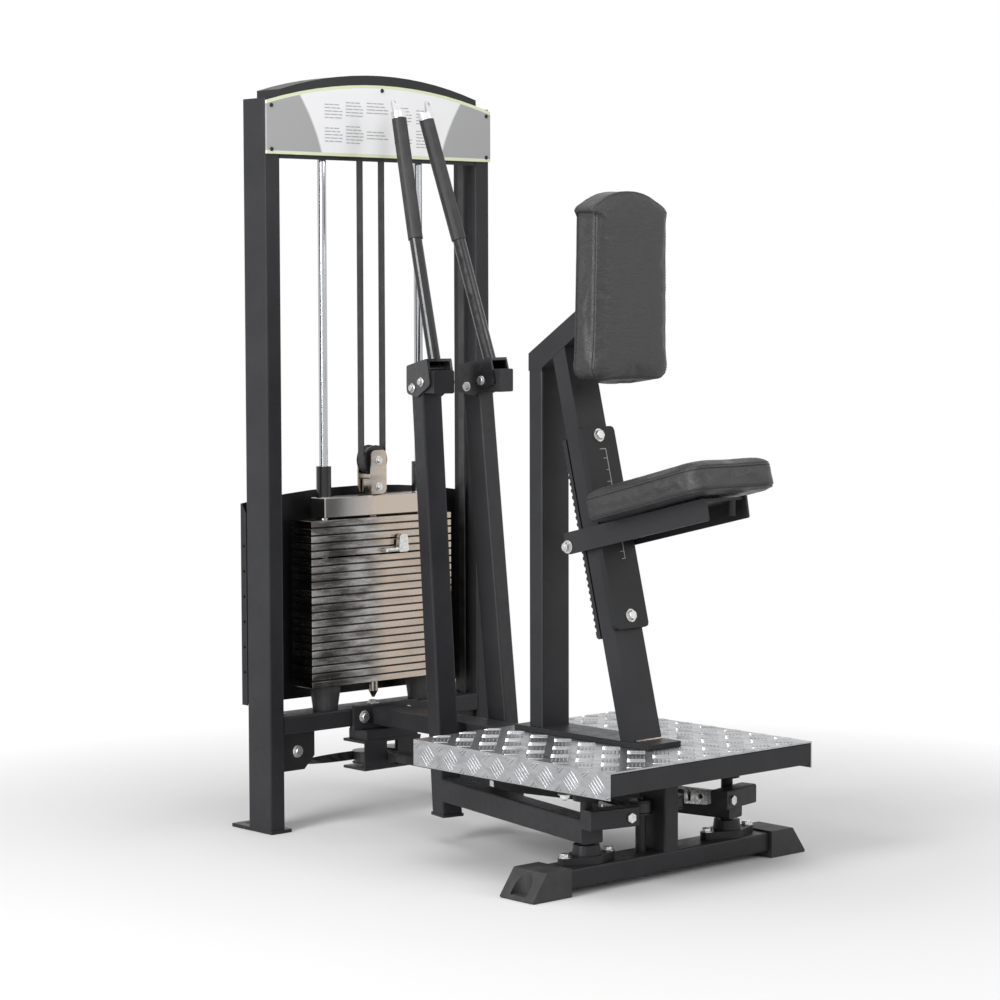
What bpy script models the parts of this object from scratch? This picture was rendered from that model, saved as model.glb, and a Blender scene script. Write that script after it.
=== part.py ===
"""Rear deltoid machine: a plate-loaded tower, a belt drive, two swinging arms and an adjustable seat.

Metres, +Z up. The sizes below are in the tower's own frame: X is 0 on the centre plane, Y is 0 on the
front face of the posts with the seat towards -Y, and Z is 0 on the floor. One empty moves it all so that
the origin is the middle of the footprint.
"""

import math

import bmesh
import bpy
from mathutils import Matrix, Vector

GAP = 0.0003

POST_OUTER_X = 0.3264
POST_WIDTH = 0.0398
POST_DEPTH = 0.0815
POST_HEIGHT = 1.620
TUBE_CORNER = 0.004
FOOT_PLATE_THICK = 0.0078
FOOT_PLATE_REAR_Y = 0.1425
FOOT_PLATE_INNER_X = 0.2713

ARCH_END_TOP = POST_HEIGHT + 0.020
ARCH_RISE = 0.042
ARCH_TALL = 0.040
HEADER_PLATE_THICK = 0.004
HEADER_PLATE_LOW = ARCH_END_TOP - 0.150

PLACARD_LOW = ARCH_END_TOP - 0.141
PLACARD_END_TALL = 0.1155
PLACARD_END_TOP = PLACARD_LOW + PLACARD_END_TALL
PLACARD_RISE = 0.0455
PLACARD_THICK = 0.005

ROD_RADIUS = 0.010
ROD_X = 0.1405
ROD_Y = 0.038
ROD_SOCKET_LOW = ARCH_END_TOP - 0.105
ROD_SOCKET_HIGH = ROD_SOCKET_LOW + 0.0225
ROD_SOCKET_DEEP = 0.015

CROSSBEAM_LOW = 0.218
CROSSBEAM_HIGH = 0.258
BUMPER_RADIUS = 0.034
STACK_BASE = 0.314
PLATE_PITCH = 0.0172
PLATE_THICK = 0.0137
PLATE_HALF_X = 0.206
PLATE_FRONT_Y = 0.0005
PLATE_REAR_Y = 0.0755
NECK_INSET = 0.007
RESTING_PLATES = 17
LIFTED_PLATES = 5
TOP_PLATE_HALF_X = 0.158
TOP_PLATE_FRONT_Y = 0.012
TOP_PLATE_REAR_Y = 0.064
TOP_PLATE_HIGH = 0.738
SLEEVE_RADIUS = 0.017
SLEEVE_HIGH = 0.808
SELECTOR_RADIUS = 0.011
PIN_RADIUS = 0.0045

PULLEY_ROOT = 0.030
PULLEY_FLANGE = 0.034
PULLEY_WIDE = 0.028
PULLEY_BORE = 0.0065
AXLE_RADIUS = 0.006
BELT_WIDE = 0.020
BELT_THICK = 0.0024
BELT_REACH = PULLEY_ROOT + GAP + BELT_THICK / 2
STACK_PULLEY_Z = 0.817
TOP_PULLEY_Z = ARCH_END_TOP - 0.075
OUTER_PULLEY_X = 0.241
BOTTOM_PULLEY_Z = 0.176
CAGE_PULLEY_X = 0.045
CAGE_PULLEY_Y = 0.0065
ROLLER_ROOT = 0.019
ROLLER_FLANGE = 0.023
ROLLER_REACH = ROLLER_ROOT + GAP + BELT_THICK / 2
ROLLER_X = 0.046
ROLLER_Y = -0.875

SPINE_HALF_X = 0.040
SPINE_LOW = 0.217
SPINE_HIGH = 0.257
FOOT_BEAM_LOW = 0.013
FOOT_BEAM_HIGH = 0.053
FRONT_TUBE_Y = -0.920
REAR_TUBE_Y = -0.840
FOOT_BEAM_END_X = 0.350
FOOT_CAP_END_X = 0.3995
FOOT_CAP_TALL = 0.0572
FOOT_CAP_SLANT = 0.0415
FOOT_CAP_HALF_Y = 0.0486

PLATFORM_HALF_X = 0.2941
PLATFORM_FRONT_Y = -1.0379
PLATFORM_REAR_Y = -0.4495
PLATFORM_TOP = 0.2617
TREAD_THICK = 0.003
SKIRT_TALL = 0.055

PIVOT_X = 0.205
PIVOT_Y = -0.880
PIVOT_RADIUS = 0.0125
ARM_ANGLE = math.radians(11.5)
ARM_TUBE = 0.050

SEAT_FRONT_Y = -1.116
SEAT_SLIDE_DIRECTION = Vector((0, 0.2489, 0.9685))
POST_FRONT_LOW = Vector((0, -0.850, 0.2755))
POST_FRONT_HIGH = Vector((0, -0.6425, 1.083))

SHIFT_Y = -(SEAT_FRONT_Y + FOOT_PLATE_REAR_Y) / 2

X_AXIS = Vector((1, 0, 0))
Y_AXIS = Vector((0, 1, 0))
Z_AXIS = Vector((0, 0, 1))


def start_scene():
    """Empties the scene and makes the two collections."""
    for old in list(bpy.data.objects):
        bpy.data.objects.remove(old)
    made = bpy.data.collections.new("rear deltoid machine")
    helpers = bpy.data.collections.new("cutters and joined shapes")
    bpy.context.scene.collection.children.link(made)
    bpy.context.scene.collection.children.link(helpers)
    return made, helpers


PARTS, HELPERS = start_scene()


def empty(name, at, parent=None, turn=0.0):
    """A joint frame: pieces that move together are its children."""
    frame = bpy.data.objects.new(name, None)
    frame.empty_display_size = 0.1
    frame.location = at
    frame.rotation_euler = (0, 0, turn)
    frame.parent = parent
    PARTS.objects.link(frame)
    return frame


MACHINE = empty("machine", (0, SHIFT_Y, 0))


def solid(name, mesh, home=None, smooth=False):
    """Links a mesh as a piece under its joint frame."""
    made = bpy.data.objects.new(name, mesh)
    made.parent = home or MACHINE
    PARTS.objects.link(made)
    if smooth:
        mesh.shade_smooth()
        mesh.set_sharp_from_angle(angle=math.radians(35))
    return made


def from_bmesh(name, shape, home=None, smooth=False):
    """Turns a bmesh into a piece with its faces outward."""
    bmesh.ops.recalc_face_normals(shape, faces=shape.faces)
    mesh = bpy.data.meshes.new(name)
    shape.to_mesh(mesh)
    shape.free()
    return solid(name, mesh, home, smooth)


def helper(shape):
    """Hides a cutter or a joined shape and moves it to its own collection."""
    PARTS.objects.unlink(shape)
    HELPERS.objects.link(shape)
    shape.hide_render = True
    shape.display_type = "WIRE"


def combine(target, others, operation):
    for other in others:
        helper(other)
        step = target.modifiers.new(other.name, "BOOLEAN")
        step.operation = operation
        step.solver = "EXACT"
        step.object = other
    return target


def join(target, *others):
    """Welds other shapes to a piece."""
    return combine(target, others, "UNION")


def cut(target, *others):
    """Cuts other shapes out of a piece."""
    return combine(target, others, "DIFFERENCE")


def block(name, low, high, home=None, edge=0.0):
    """A box between two corners, with its edges broken when edge is given."""
    shape = bmesh.new()
    bmesh.ops.create_cube(shape, size=1)
    low, high = Vector(low), Vector(high)
    size = Matrix.Diagonal((*(high - low), 1))
    bmesh.ops.transform(shape, matrix=Matrix.Translation((low + high) / 2) @ size, verts=shape.verts)
    made = from_bmesh(name, shape, home)
    if edge:
        bevel = made.modifiers.new("edges", "BEVEL")
        bevel.width = edge
        bevel.segments = 1
    return made


def rod(name, start, end, radius, home=None, steps=24, end_radius=None):
    """A round bar or cone between two points."""
    start, end = Vector(start), Vector(end)
    shape = bmesh.new()
    bmesh.ops.create_cone(
        shape,
        cap_ends=True,
        segments=steps,
        radius1=radius,
        radius2=radius if end_radius is None else end_radius,
        depth=(end - start).length,
    )
    turn = (end - start).to_track_quat("Z", "Y").to_matrix().to_4x4()
    bmesh.ops.transform(shape, matrix=Matrix.Translation((start + end) / 2) @ turn, verts=shape.verts)
    return from_bmesh(name, shape, home, smooth=True)


def circle(centre, radius, steps=16):
    """A closed loop of points round a centre."""
    turns = (2 * math.pi * step / steps for step in range(steps))
    return [(centre[0] + radius * math.cos(turn), centre[1] + radius * math.sin(turn)) for turn in turns]


def rounded(corners, radius, steps=3):
    """A closed loop with each corner replaced by an arc; radius is one value or one for each corner."""
    radii = radius if isinstance(radius, (list, tuple)) else [radius] * len(corners)
    loop = []
    for index, (corner, size) in enumerate(zip(corners, radii)):
        corner = Vector(corner)
        before = (Vector(corners[index - 1]) - corner).normalized()
        after = (Vector(corners[(index + 1) % len(corners)]) - corner).normalized()
        half = before.angle(after) / 2
        if size <= 0 or half > math.pi / 2 - 0.01:
            loop.append(tuple(corner))
            continue
        centre = corner + (before + after).normalized() * (size / math.sin(half))
        first = corner + before * (size / math.tan(half)) - centre
        last = corner + after * (size / math.tan(half)) - centre
        sweep = first.angle_signed(last)
        for step in range(steps + 1):
            turn = Matrix.Rotation(-sweep * step / steps, 2)
            loop.append(tuple(centre + turn @ first))
    return loop


def rectangle(low, high, radius=0.0, steps=2):
    """A rectangular loop with round corners."""
    corners = [(low[0], low[1]), (high[0], low[1]), (high[0], high[1]), (low[0], high[1])]
    return rounded(corners, radius, steps) if radius else corners


def plate(name, outline, base, across, up, thick, holes=(), home=None):
    """A flat piece: a filled 2D outline with holes, drawn on the plane of across and up, and extruded."""
    drawing = bpy.data.curves.new(name, "CURVE")
    drawing.dimensions = "2D"
    drawing.fill_mode = "BOTH"
    drawing.extrude = thick / 2
    for loop in (outline, *holes):
        spline = drawing.splines.new("POLY")
        spline.points.add(len(loop) - 1)
        for point, (x, y) in zip(spline.points, loop):
            point.co = (x, y, 0, 1)
        spline.use_cyclic_u = True
    drawn = bpy.data.objects.new(name, drawing)
    mesh = bpy.data.meshes.new_from_object(drawn)
    bpy.data.objects.remove(drawn)
    shape = bmesh.new()
    shape.from_mesh(mesh)
    bpy.data.meshes.remove(mesh)
    bmesh.ops.remove_doubles(shape, verts=shape.verts, dist=0.000001)
    across, up = Vector(across).normalized(), Vector(up).normalized()
    normal = across.cross(up)
    placed = Matrix((across, up, normal)).transposed().to_4x4()
    placed.translation = Vector(base) + normal * thick / 2
    bmesh.ops.transform(shape, matrix=placed, verts=shape.verts)
    return from_bmesh(name, shape, home)


def tube(name, start, end, wide, tall, up=Z_AXIS, corner=TUBE_CORNER, home=None):
    """A rectangular section with round corners between two points; tall is measured along up."""
    start, end = Vector(start), Vector(end)
    along = (end - start).normalized()
    across = Vector(up).cross(along).normalized()
    square_up = along.cross(across)
    section = rectangle((-wide / 2, -tall / 2), (wide / 2, tall / 2), corner)
    return plate(name, section, start, across, square_up, (end - start).length, home=home)


def turned(name, profile, at, axis=Z_AXIS, home=None, steps=24):
    """A body of revolution: (radius, height) runs down the outer side, and a hollow one back up inside."""
    hollow = profile[0][0] > 0
    turn = Vector(axis).to_track_quat("Z", "Y").to_matrix()
    mesh = bpy.data.meshes.new(name)
    edges = [(index, index + 1) for index in range(len(profile) - 1)]
    if hollow:
        edges.append((len(profile) - 1, 0))
    mesh.from_pydata([(radius, 0, height) for radius, height in profile], edges, [])
    made = solid(name, mesh, home)
    made.matrix_local = Matrix.Translation(at) @ turn.to_4x4()
    spin = made.modifiers.new("turn", "SCREW")
    spin.steps = steps
    spin.render_steps = steps
    spin.use_merge_vertices = True
    spin.merge_threshold = 0.00001
    spin.use_smooth_shade = True
    return made


def belt_route(stops):
    """Corners of a belt over round stops, on one plane.

    Each stop is (centre, reach, side): side is 1 for a right turn, -1 for a left one and 0 for an end.
    The corners lie outside the reach, so that each straight run between them is tangent to it.
    """
    headings = []
    for (first, reach, side), (second, next_reach, next_side) in zip(stops, stops[1:]):
        run = Vector(second) - Vector(first)
        lean = math.asin((next_side * next_reach - side * reach) / run.length)
        headings.append(math.atan2(run.y, run.x) + lean)
    corners = [Vector(stops[0][0])]
    for (centre, reach, side), heading, leaving in zip(stops[1:-1], headings, headings[1:]):
        turn = (side * (heading - leaving)) % (2 * math.pi)
        count = max(1, math.ceil(turn / math.radians(18)))
        for step in range(count):
            at = heading - side * turn * (step + 0.5) / count
            outward = side * Vector((-math.sin(at), math.cos(at)))
            corners.append(Vector(centre) + outward * reach / math.cos(turn / count / 2))
    corners.append(Vector(stops[-1][0]))
    return corners


def leaving_point(stop, next_stop, past=0.002):
    """The point just past a round stop where its belt runs straight on to the next stop, and its heading."""
    (first, reach, side), (second, next_reach, next_side) = stop, next_stop
    run = Vector(second) - Vector(first)
    lean = math.asin((next_side * next_reach - side * reach) / run.length)
    at = math.atan2(run.y, run.x) + lean
    heading = Vector((math.cos(at), math.sin(at)))
    return Vector(first) + side * reach * Vector((-heading.y, heading.x)) + heading * past, heading


def ribbon(name, stations, home=None):
    """A flat belt through (centre, across) stations.

    It is lofted by hand because the belt turns its flat side by a quarter between two pulleys, and a
    curve's own bevel doesn't hold each station's flat side to its pulley.
    """
    shape = bmesh.new()
    rings = []
    for index, (centre, across) in enumerate(stations):
        before = stations[max(index - 1, 0)][0]
        after = stations[min(index + 1, len(stations) - 1)][0]
        entering = (centre - before).normalized() if index else (after - centre).normalized()
        leaving = (after - centre).normalized() if index < len(stations) - 1 else entering
        tangent = (entering + leaving).normalized()
        half_turn = entering.angle(leaving) / 2
        across = across.normalized() * BELT_WIDE / 2
        flat = tangent.cross(across).normalized() * BELT_THICK / 2 / math.cos(half_turn)
        corners = (across + flat, flat - across, -across - flat, across - flat)
        rings.append([shape.verts.new(centre + corner) for corner in corners])
    for ring, following in zip(rings, rings[1:]):
        for index in range(4):
            after = (index + 1) % 4
            shape.faces.new((ring[index], ring[after], following[after], following[index]))
    shape.faces.new(rings[0])
    shape.faces.new(rings[-1])
    return from_bmesh(name, shape, home)


def cushion(name, outline, rings, base, across, up, home=None):
    """A stuffed pad over a flat outline: each ring is (inset, height), from its back to its crown.

    It is lofted by hand because a bevelled outline has neither the crown nor the drawn-in seam.
    """
    across, up = Vector(across).normalized(), Vector(up).normalized()
    normal = across.cross(up)
    low_x, high_x = min(x for x, _ in outline), max(x for x, _ in outline)
    low_y, high_y = min(y for _, y in outline), max(y for _, y in outline)
    middle = Vector(((low_x + high_x) / 2, (low_y + high_y) / 2))
    half_x, half_y = (high_x - low_x) / 2, (high_y - low_y) / 2
    shape = bmesh.new()
    lofted = []
    for inset, height in rings:
        ring = []
        for x, y in outline:
            inner_x = middle.x + (x - middle.x) * (1 - inset / half_x)
            inner_y = middle.y + (y - middle.y) * (1 - inset / half_y)
            ring.append(shape.verts.new(Vector(base) + across * inner_x + up * inner_y + normal * height))
        lofted.append(ring)
    count = len(outline)
    for ring, following in zip(lofted, lofted[1:]):
        for index in range(count):
            after = (index + 1) % count
            shape.faces.new((ring[index], ring[after], following[after], following[index]))
    shape.faces.new(lofted[0])
    shape.faces.new(lofted[-1])
    return from_bmesh(name, shape, home, smooth=True)


def mirror_x(side, low_x, high_x):
    """The two X values of a right-hand span on the given side, low one first."""
    return sorted((side * low_x, side * high_x))


def side_block(name, side, low, high, home=None, edge=0.0):
    """A box given for the right-hand side, placed on the given side."""
    low_x, high_x = mirror_x(side, low[0], high[0])
    return block(name, (low_x, low[1], low[2]), (high_x, high[1], high[2]), home, edge)


def side_name(side):
    return "left" if side < 0 else "right"


def arc_points(half_width, end_top, rise, lift=0.0, count=14):
    """Points from right to left along an arc that rises to its middle."""
    radius = (half_width**2 + rise**2) / (2 * rise)
    centre = end_top + rise - radius
    points = []
    for step in range(count + 1):
        x = half_width * (1 - 2 * step / count)
        points.append((x, centre + lift + math.sqrt(radius**2 - x**2)))
    return points


def tower_posts():
    """Two uprights, each with its floor plate."""
    for side in (-1, 1):
        centre = side * (POST_OUTER_X - POST_WIDTH / 2)
        foot = (centre, POST_DEPTH / 2, 0.001)
        head = (centre, POST_DEPTH / 2, POST_HEIGHT)
        post = tube(side_name(side) + "_post", foot, head, POST_DEPTH, POST_WIDTH, up=X_AXIS)
        floor = side_block(
            "floor plate",
            side,
            (FOOT_PLATE_INNER_X, -0.003, 0),
            (POST_OUTER_X + GAP, FOOT_PLATE_REAR_Y, FOOT_PLATE_THICK),
        )
        hole = rod(
            "anchor hole",
            (side * 0.299, 0.118, -0.01),
            (side * 0.299, 0.118, 0.02),
            0.006,
            steps=12,
        )
        join(post, floor)
        cut(post, hole)


def header_arch():
    """The arched cross tube with its two pulley plates, four axles and two rod sockets."""
    inner = POST_OUTER_X - POST_WIDTH - GAP
    top = arc_points(inner, ARCH_END_TOP, ARCH_RISE)
    bottom = arc_points(inner, ARCH_END_TOP, ARCH_RISE, lift=-ARCH_TALL)
    arch = plate("header_arch", top + bottom[::-1], (0, POST_DEPTH, 0), X_AXIS, Z_AXIS, POST_DEPTH)
    cover_end = inner - 0.001
    low = [(cover_end, HEADER_PLATE_LOW), (-cover_end, HEADER_PLATE_LOW)]
    cover = arc_points(cover_end, ARCH_END_TOP, ARCH_RISE, lift=-0.0065, count=10)
    front = plate("front cover", cover + low[::-1], (0, 0.006, 0), X_AXIS, Z_AXIS, HEADER_PLATE_THICK)
    rear_half = OUTER_PULLEY_X + 0.021
    rear_low, rear_high = TOP_PULLEY_Z - 0.037, TOP_PULLEY_Z + 0.060
    rear = plate(
        "rear cover",
        rectangle((-rear_half, rear_low), (rear_half, rear_high)),
        (0, 0.074, 0),
        X_AXIS,
        Z_AXIS,
        HEADER_PLATE_THICK,
    )
    join(arch, front, rear)
    for side in (-1, 1):
        socket = block(
            "socket",
            (side * ROD_X - 0.025, 0.004, ROD_SOCKET_LOW),
            (side * ROD_X + 0.025, 0.072, ROD_SOCKET_HIGH),
        )
        bore = rod(
            "socket bore",
            (side * ROD_X, ROD_Y, ROD_SOCKET_LOW - 0.01),
            (side * ROD_X, ROD_Y, ROD_SOCKET_LOW + ROD_SOCKET_DEEP),
            ROD_RADIUS + GAP,
        )
        join(arch, socket)
        cut(arch, bore)
    for side in (-1, 1):
        for x in (BELT_REACH * 2, OUTER_PULLEY_X):
            axle = rod(
                "axle",
                (side * x, 0.004, TOP_PULLEY_Z),
                (side * x, 0.072, TOP_PULLEY_Z),
                AXLE_RADIUS,
                steps=12,
            )
            join(arch, axle)


def placard():
    """The plain instruction board in front of the arch."""
    top = arc_points(POST_OUTER_X, PLACARD_END_TOP, PLACARD_RISE)
    loop = [*top, (-POST_OUTER_X, PLACARD_LOW), (POST_OUTER_X, PLACARD_LOW)]
    plate("placard", loop, (0, -GAP, 0), X_AXIS, Z_AXIS, PLACARD_THICK)


def rear_shroud():
    """A pressed sheet behind the stack: one folded section, its arched top cut to shape, with side holes."""
    sheet = 0.002
    outer, back, front = POST_OUTER_X, 0.1015, POST_DEPTH + GAP
    section = [
        (-outer, front),
        (-outer, back),
        (outer, back),
        (outer, front),
        (outer - sheet, front),
        (outer - sheet, back - sheet),
        (-outer + sheet, back - sheet),
        (-outer + sheet, front),
    ]
    low = 0.280
    shroud = plate("rear_shroud", section, (0, 0, low), X_AXIS, Y_AXIS, 0.755 - low)
    arch = arc_points(outer + 0.001, 0.730, 0.025, count=10)
    above = plate("arched top", [*arch, (-0.34, 0.80), (0.34, 0.80)], (0, 0.11, 0), X_AXIS, Z_AXIS, 0.04)
    corner = plate(
        "flange chamfer",
        [(0.070, 0.690), (0.098, 0.732), (0.098, 0.80), (0.070, 0.80)],
        (-0.35, 0, 0),
        Y_AXIS,
        Z_AXIS,
        0.70,
    )
    cut(shroud, above, corner)
    for step in range(6):
        z = 0.354 + 0.0564 * step
        cut(shroud, rod("side hole", (-0.35, 0.0905, z), (0.35, 0.0905, z), 0.0033, steps=8))


def tower_crossbeam():
    """The lower cross tube, slotted where the two belts pass through it."""
    inner = POST_OUTER_X - POST_WIDTH - GAP
    beam = tube(
        "tower_crossbeam",
        (-inner, POST_DEPTH / 2, (CROSSBEAM_LOW + CROSSBEAM_HIGH) / 2),
        (inner, POST_DEPTH / 2, (CROSSBEAM_LOW + CROSSBEAM_HIGH) / 2),
        POST_DEPTH,
        CROSSBEAM_HIGH - CROSSBEAM_LOW,
    )
    for side in (-1, 1):
        run = OUTER_PULLEY_X + BELT_REACH
        slot = side_block("belt slot", side, (run - 0.0085, 0.022, 0.2), (run + 0.0085, 0.054, 0.3))
        cut(beam, slot)


def plate_block(name, first, count):
    """A run of stack plates: one plate repeated at the pitch, held by a narrower core, bored for the rods."""
    low = STACK_BASE + first * PLATE_PITCH
    high = low + (count - 1) * PLATE_PITCH + PLATE_THICK
    plates = block(
        name,
        (-PLATE_HALF_X, PLATE_FRONT_Y, low),
        (PLATE_HALF_X, PLATE_REAR_Y, low + PLATE_THICK),
        edge=0.0008,
    )
    run = plates.modifiers.new("run", "ARRAY")
    run.count = count
    run.use_relative_offset = False
    run.use_constant_offset = True
    run.constant_offset_displace = (0, 0, PLATE_PITCH)
    core = block(
        "core",
        (-PLATE_HALF_X + NECK_INSET, PLATE_FRONT_Y + NECK_INSET, low + 0.002),
        (PLATE_HALF_X - NECK_INSET, PLATE_REAR_Y - NECK_INSET, high - 0.002),
    )
    join(plates, core)
    for x, radius in ((-ROD_X, ROD_RADIUS), (0, SELECTOR_RADIUS), (ROD_X, ROD_RADIUS)):
        hole = rod("rod hole", (x, ROD_Y, low - 0.01), (x, ROD_Y, high + 0.01), radius + 0.001, steps=16)
        cut(plates, hole)
    return plates


def weight_stack():
    """Guide rods, bumpers, plates, the selector rod and its pin."""
    for side in (-1, 1):
        low = (side * ROD_X, ROD_Y, CROSSBEAM_HIGH + GAP)
        high = (side * ROD_X, ROD_Y, ROD_SOCKET_LOW + ROD_SOCKET_DEEP - GAP)
        rod(side_name(side) + "_guide_rod", low, high, ROD_RADIUS)
        bumper_top = STACK_BASE - CROSSBEAM_HIGH - GAP
        bumper = [
            (BUMPER_RADIUS, bumper_top),
            (BUMPER_RADIUS, bumper_top - 0.012),
            (BUMPER_RADIUS - 0.006, GAP),
            (ROD_RADIUS + 2 * GAP, GAP),
            (ROD_RADIUS + 2 * GAP, bumper_top),
        ]
        turned(side_name(side) + "_bumper", bumper, (side * ROD_X, ROD_Y, CROSSBEAM_HIGH), steps=20)
    plate_block("resting_plates", 0, RESTING_PLATES)
    lifted = plate_block("lifted_plates", RESTING_PLATES, LIFTED_PLATES)
    pin_z = STACK_BASE + RESTING_PLATES * PLATE_PITCH + PLATE_THICK / 2
    cut(lifted, rod("pin hole", (0, -0.02, pin_z), (0, 0.062, pin_z), PIN_RADIUS + 0.0005, steps=12))

    top_low = STACK_BASE + (RESTING_PLATES + LIFTED_PLATES) * PLATE_PITCH
    top = block(
        "top_plate",
        (-TOP_PLATE_HALF_X, TOP_PLATE_FRONT_Y, top_low),
        (TOP_PLATE_HALF_X, TOP_PLATE_REAR_Y, TOP_PLATE_HIGH),
        edge=0.002,
    )
    for side in (-1, 1):
        base = (side * ROD_X, ROD_Y, TOP_PLATE_HIGH - 0.004)
        join(top, rod("sleeve", base, (side * ROD_X, ROD_Y, SLEEVE_HIGH), SLEEVE_RADIUS, steps=20))
        bore = rod(
            "sleeve bore",
            (side * ROD_X, ROD_Y, top_low - 0.01),
            (side * ROD_X, ROD_Y, SLEEVE_HIGH + 0.01),
            ROD_RADIUS + 0.001,
            steps=16,
        )
        cut(top, bore)
    centre_bore = rod(
        "selector bore",
        (0, ROD_Y, top_low - 0.01),
        (0, ROD_Y, TOP_PLATE_HIGH + 0.01),
        SELECTOR_RADIUS + 0.001,
        steps=16,
    )
    cut(top, centre_bore)

    profile = [(0, 0.745), (SELECTOR_RADIUS, 0.745), (SELECTOR_RADIUS, 0.288), (0.003, 0.273), (0, 0.273)]
    selector = turned("selector_rod", profile, (0, ROD_Y, 0), steps=20)
    head = block("head", (-0.015, 0.020, TOP_PLATE_HIGH + GAP), (0.015, 0.056, 0.775), edge=0.0015)
    join(selector, head)
    cut(selector, rod("head hole", (0, 0, 0.757), (0, 0.08, 0.757), 0.0056, steps=12))
    cut(selector, rod("pin hole", (0, 0, pin_z), (0, 0.08, pin_z), PIN_RADIUS + 0.0005, steps=12))

    pin = rod("selector_pin", (0, 0.052, pin_z), (0, -0.0145, pin_z), PIN_RADIUS, steps=12)
    bar = rod("pin bar", (-0.004, -0.010, pin_z), (0.048, -0.010, pin_z), PIN_RADIUS, steps=12)
    tab_outline = rounded(
        [(0.034, pin_z - 0.006), (0.064, pin_z - 0.006), (0.060, pin_z + 0.034), (0.038, pin_z + 0.034)],
        0.005,
        2,
    )
    tab = plate("pin tab", tab_outline, (0, -0.004, 0), X_AXIS, Z_AXIS, 0.012)
    join(pin, bar, tab)


def pulley(name, at, axis, root=PULLEY_ROOT, flange=PULLEY_FLANGE):
    """A flat-belt wheel with two flanges and a bore over its axle."""
    half = PULLEY_WIDE / 2
    profile = [
        (flange, half),
        (flange, half - 0.002),
        (root, half - 0.0035),
        (root, 0.0035 - half),
        (flange, 0.002 - half),
        (flange, -half),
        (PULLEY_BORE, -half),
        (PULLEY_BORE, half),
    ]
    return turned(name, profile, at, axis, steps=20)


def stack_pulley_bracket():
    """Two side plates on the selector rod's head, joined by the wheel's axle and the lower bolt."""
    outline = rectangle((-0.0225, 0.741), (0.0225, 0.840), 0.010)
    bracket = plate("stack_pulley_bracket", outline, (0, 0.017, 0), X_AXIS, Z_AXIS, 0.004)
    rear = plate("rear side plate", outline, (0, 0.063, 0), X_AXIS, Z_AXIS, 0.004)
    axle = rod("axle", (0, 0.014, STACK_PULLEY_Z), (0, 0.062, STACK_PULLEY_Z), AXLE_RADIUS, steps=12)
    bolt = rod("bolt", (0, 0.014, 0.757), (0, 0.062, 0.757), 0.005, steps=12)
    join(bracket, rear, axle, bolt)
    pulley("stack_pulley", (0, ROD_Y, STACK_PULLEY_Z), Y_AXIS)


def bottom_pulley_box(side):
    """A gusset under the crossbeam: two chamfered cheeks on a plate against the post, and the axle."""
    outer = POST_OUTER_X - POST_WIDTH - GAP
    high = CROSSBEAM_LOW - GAP
    corners = [(outer, 0.134), (outer, high), (0.193, high), (0.193, 0.163), (0.222, 0.134)]
    outline = [(side * x, z) for x, z in corners]
    name = side_name(side) + "_bottom_pulley_box"
    box = plate(name, outline, (0, 0.016, 0), X_AXIS, Z_AXIS, 0.004)
    rear = plate("rear cheek", outline, (0, 0.064, 0), X_AXIS, Z_AXIS, 0.004)
    back = side_block("post plate", side, (outer - 0.005, 0.013, 0.135), (outer - 0.001, 0.063, high - 0.001))
    centre = side * OUTER_PULLEY_X
    start, end = (centre, 0.014, BOTTOM_PULLEY_Z), (centre, 0.062, BOTTOM_PULLEY_Z)
    join(box, rear, back, rod("axle", start, end, AXLE_RADIUS, steps=12))
    pulley(side_name(side) + "_bottom_pulley", (centre, ROD_Y, BOTTOM_PULLEY_Z), Y_AXIS)


BELT_RUN_Z = BOTTOM_PULLEY_Z - BELT_REACH


def centre_pulley_cage():
    """Two plates under the tower that carry the two upright axles, with a riser to the crossbeam."""
    cage = block("centre_pulley_cage", (-0.083, -0.032, 0.118), (0.083, 0.045, 0.124))
    upper = block("upper plate", (-0.083, -0.032, 0.180), (0.083, 0.045, 0.186))
    riser = block("riser", (-0.075, -0.030, 0.184), (0.075, 0.034, 0.2085))
    neck = block("neck", (-0.074, 0.0005, 0.200), (0.074, 0.033, CROSSBEAM_LOW - GAP))
    join(cage, upper, riser, neck)
    for side in (-1, 1):
        wall = side_block("front wall", side, (0.0175, -0.0315, 0.120), (0.082, -0.0281, 0.184))
        start = (side * CAGE_PULLEY_X, CAGE_PULLEY_Y, 0.121)
        axle = rod("axle", start, (start[0], CAGE_PULLEY_Y, 0.183), AXLE_RADIUS, steps=12)
        join(cage, wall, axle)
        at = (side * CAGE_PULLEY_X, CAGE_PULLEY_Y, BELT_RUN_Z)
        pulley(side_name(side) + "_cage_pulley", at, Z_AXIS)


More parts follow.
